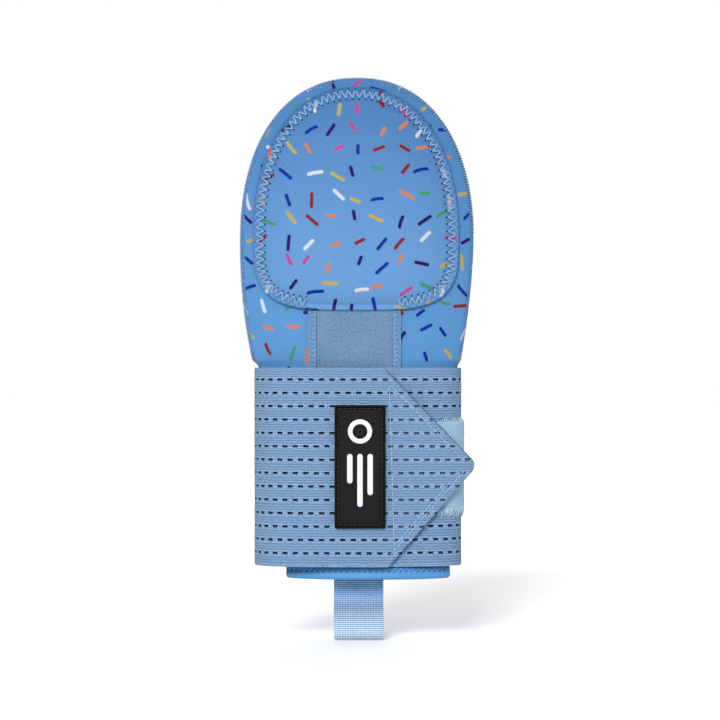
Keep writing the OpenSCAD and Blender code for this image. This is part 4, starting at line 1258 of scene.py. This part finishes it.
bpy.ops.object.select_all(action="DESELECT")
bpy.ops.mesh.primitive_cylinder_add(vertices=64, radius=0.0062, depth=emblem_t, end_fill_type="NGON",
                                    location=(patch_mid.x, emblem_y, ring_z), rotation=(math.pi / 2, 0, 0))
ring = bpy.context.object
bpy.ops.object.transform_apply(location=True, rotation=True)
edit(ring, "FACE", ring.data.polygons, lambda face: abs(face.normal.y) > 0.9)
bpy.ops.mesh.inset(thickness=0.0024, depth=0)
bpy.ops.mesh.bridge_edge_loops()
bpy.ops.object.mode_set(mode="OBJECT")
raised("emblem_ring", ring)
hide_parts("patch_emblem")
for k, (x, length) in enumerate(((-0.0052, 0.015), (0.0, 0.027), (0.0052, 0.021))):
    bpy.ops.object.select_all(action="DESELECT")
    bpy.ops.mesh.primitive_cube_add(size=1, scale=(0.0028, emblem_t, length),
                                    location=(patch_mid.x + x, emblem_y, bars_top - length / 2))
    bar = bpy.context.object
    bpy.ops.object.transform_apply(location=True, scale=True)
    round_corners(bar, 0.0003, 0.0013, 6)
    raised(f"emblem_bar_{k + 1}", bar)

# ---- Pull tab ----
# A loop of ribbed periwinkle webbing, whose two tails are sewn inside the palm side of the cuff. Its
# colour is painted light: lighter just under the cuff, darker midway and paler towards its fold. It
# swings where it leaves the cuff.
tab_low, tab_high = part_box("pull_tab")
tab_y = (tab_low.y + tab_high.y) / 2
webbing, web_shader, spot = finish_of("webbing", 0.6, sheen=0.15, specular=0.35)
cloth = laid(spot)
u, v, _ = cloth.parts()
stray = cloth.noise(400, 2)
rib = v.wave(0.00105)
pick = (u + rib * 0.0002).wave(0.00133, 1.0)
# Painted light: the colour changes with height, lighter just below the cuff, darker midway and paler towards the fold.
down = spot.parts()[2].ramp(0.0, -0.033)
dark, pale = (down.fade(list(zip((0.12, 0.45, 0.95), shades)), "LINEAR") for shades in (
    ((0.070, 0.190, 0.520), (0.032, 0.074, 0.205), (0.150, 0.250, 0.420)),
    ((0.400, 0.680, 0.970), (0.325, 0.430, 0.590), (0.600, 0.700, 0.780))))
look(web_shader, (rib * 0.70 + pick * 0.26 + stray * 0.2 - 0.08).ramp(0.2, 0.9).tint(dark, pale),
     stray * 0.2 + 0.5, rib + pick * 0.5, 0.0004, 0.9)

half_t = 0.0008
web_w = 0.0258
gap = 0.00095
fold_r = (tab_high.y - tab_low.y) / 2 - half_t
fold_z = tab_low.z + fold_r + half_t
hinge_z = -0.0022
lean = math.asin((fold_r - gap) / (hinge_z - fold_z))
turn = np.linspace(math.pi - lean, 2 * math.pi + lean, 60)
sweep = xyz(fold_r * np.cos(turn), fold_z + fold_r * np.sin(turn))
tail = xyz(-gap, np.linspace(0.0145, hinge_z, 24))
neck = np.linspace(0, 1, 16)[1:-1, None]
neck = mix(tail[-1], sweep[0], neck) + np.sin(neck * math.pi) * np.array([-0.0006, 0])
left = np.concatenate([tail, neck])
centre = np.concatenate([left, sweep, left[::-1] * (-1, 1)])
for k in range(3):
    centre[1:-1] = (centre[:-2] + 2 * centre[1:-1] + centre[2:]) / 4
far = lengths(centre)
at = np.linspace(0, far[-1], 260)
centre = places(at, far, centre)
way_y, way_z = unit(np.gradient(centre, axis=0)).T[..., None]
across = np.concatenate([[0, 0.0003, 0.0009], np.linspace(0.002, 0.0238, 22), [0.0249, 0.0255, web_w]])
edge = np.clip(np.minimum(across, web_w - across) / 0.0009, 0, 1)
wall = half_t * (0.45 + 0.55 * np.sqrt(1 - (1 - edge) ** 2))
x, mid_y, mid_z = tab_low.x + across, tab_y + centre[:, :1], centre[:, 1:]
inner, outer = (xyz(x, mid_y - wall * way_z, mid_z + wall * way_y) for wall in (-wall, wall))
tab = closed_sheet("pull_tab_webbing", inner, outer, xyz(x, at[:, None], 0))
dress(tab, webbing, "webbing", "pull_tab", "tab_anchor", body=None)
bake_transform(tab)

x = np.linspace(tab_low.x + 0.003, tab_high.x - 0.003, 40)
bars = [straight_seam(xyz(x, tab_y - gap - half_t, z), forwards, 0.0024, 0.0003, 0.15) for z in (0.0065, 0.0115)]
dress(sewn("tab_tail_seams", np.concatenate(bars), forwards, 0.00025), pale_thread, "thread", "tab_anchor_stitching")

# ---- Size ----
# The sizes of the imported model and of the finished mitt are measured.
low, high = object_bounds()
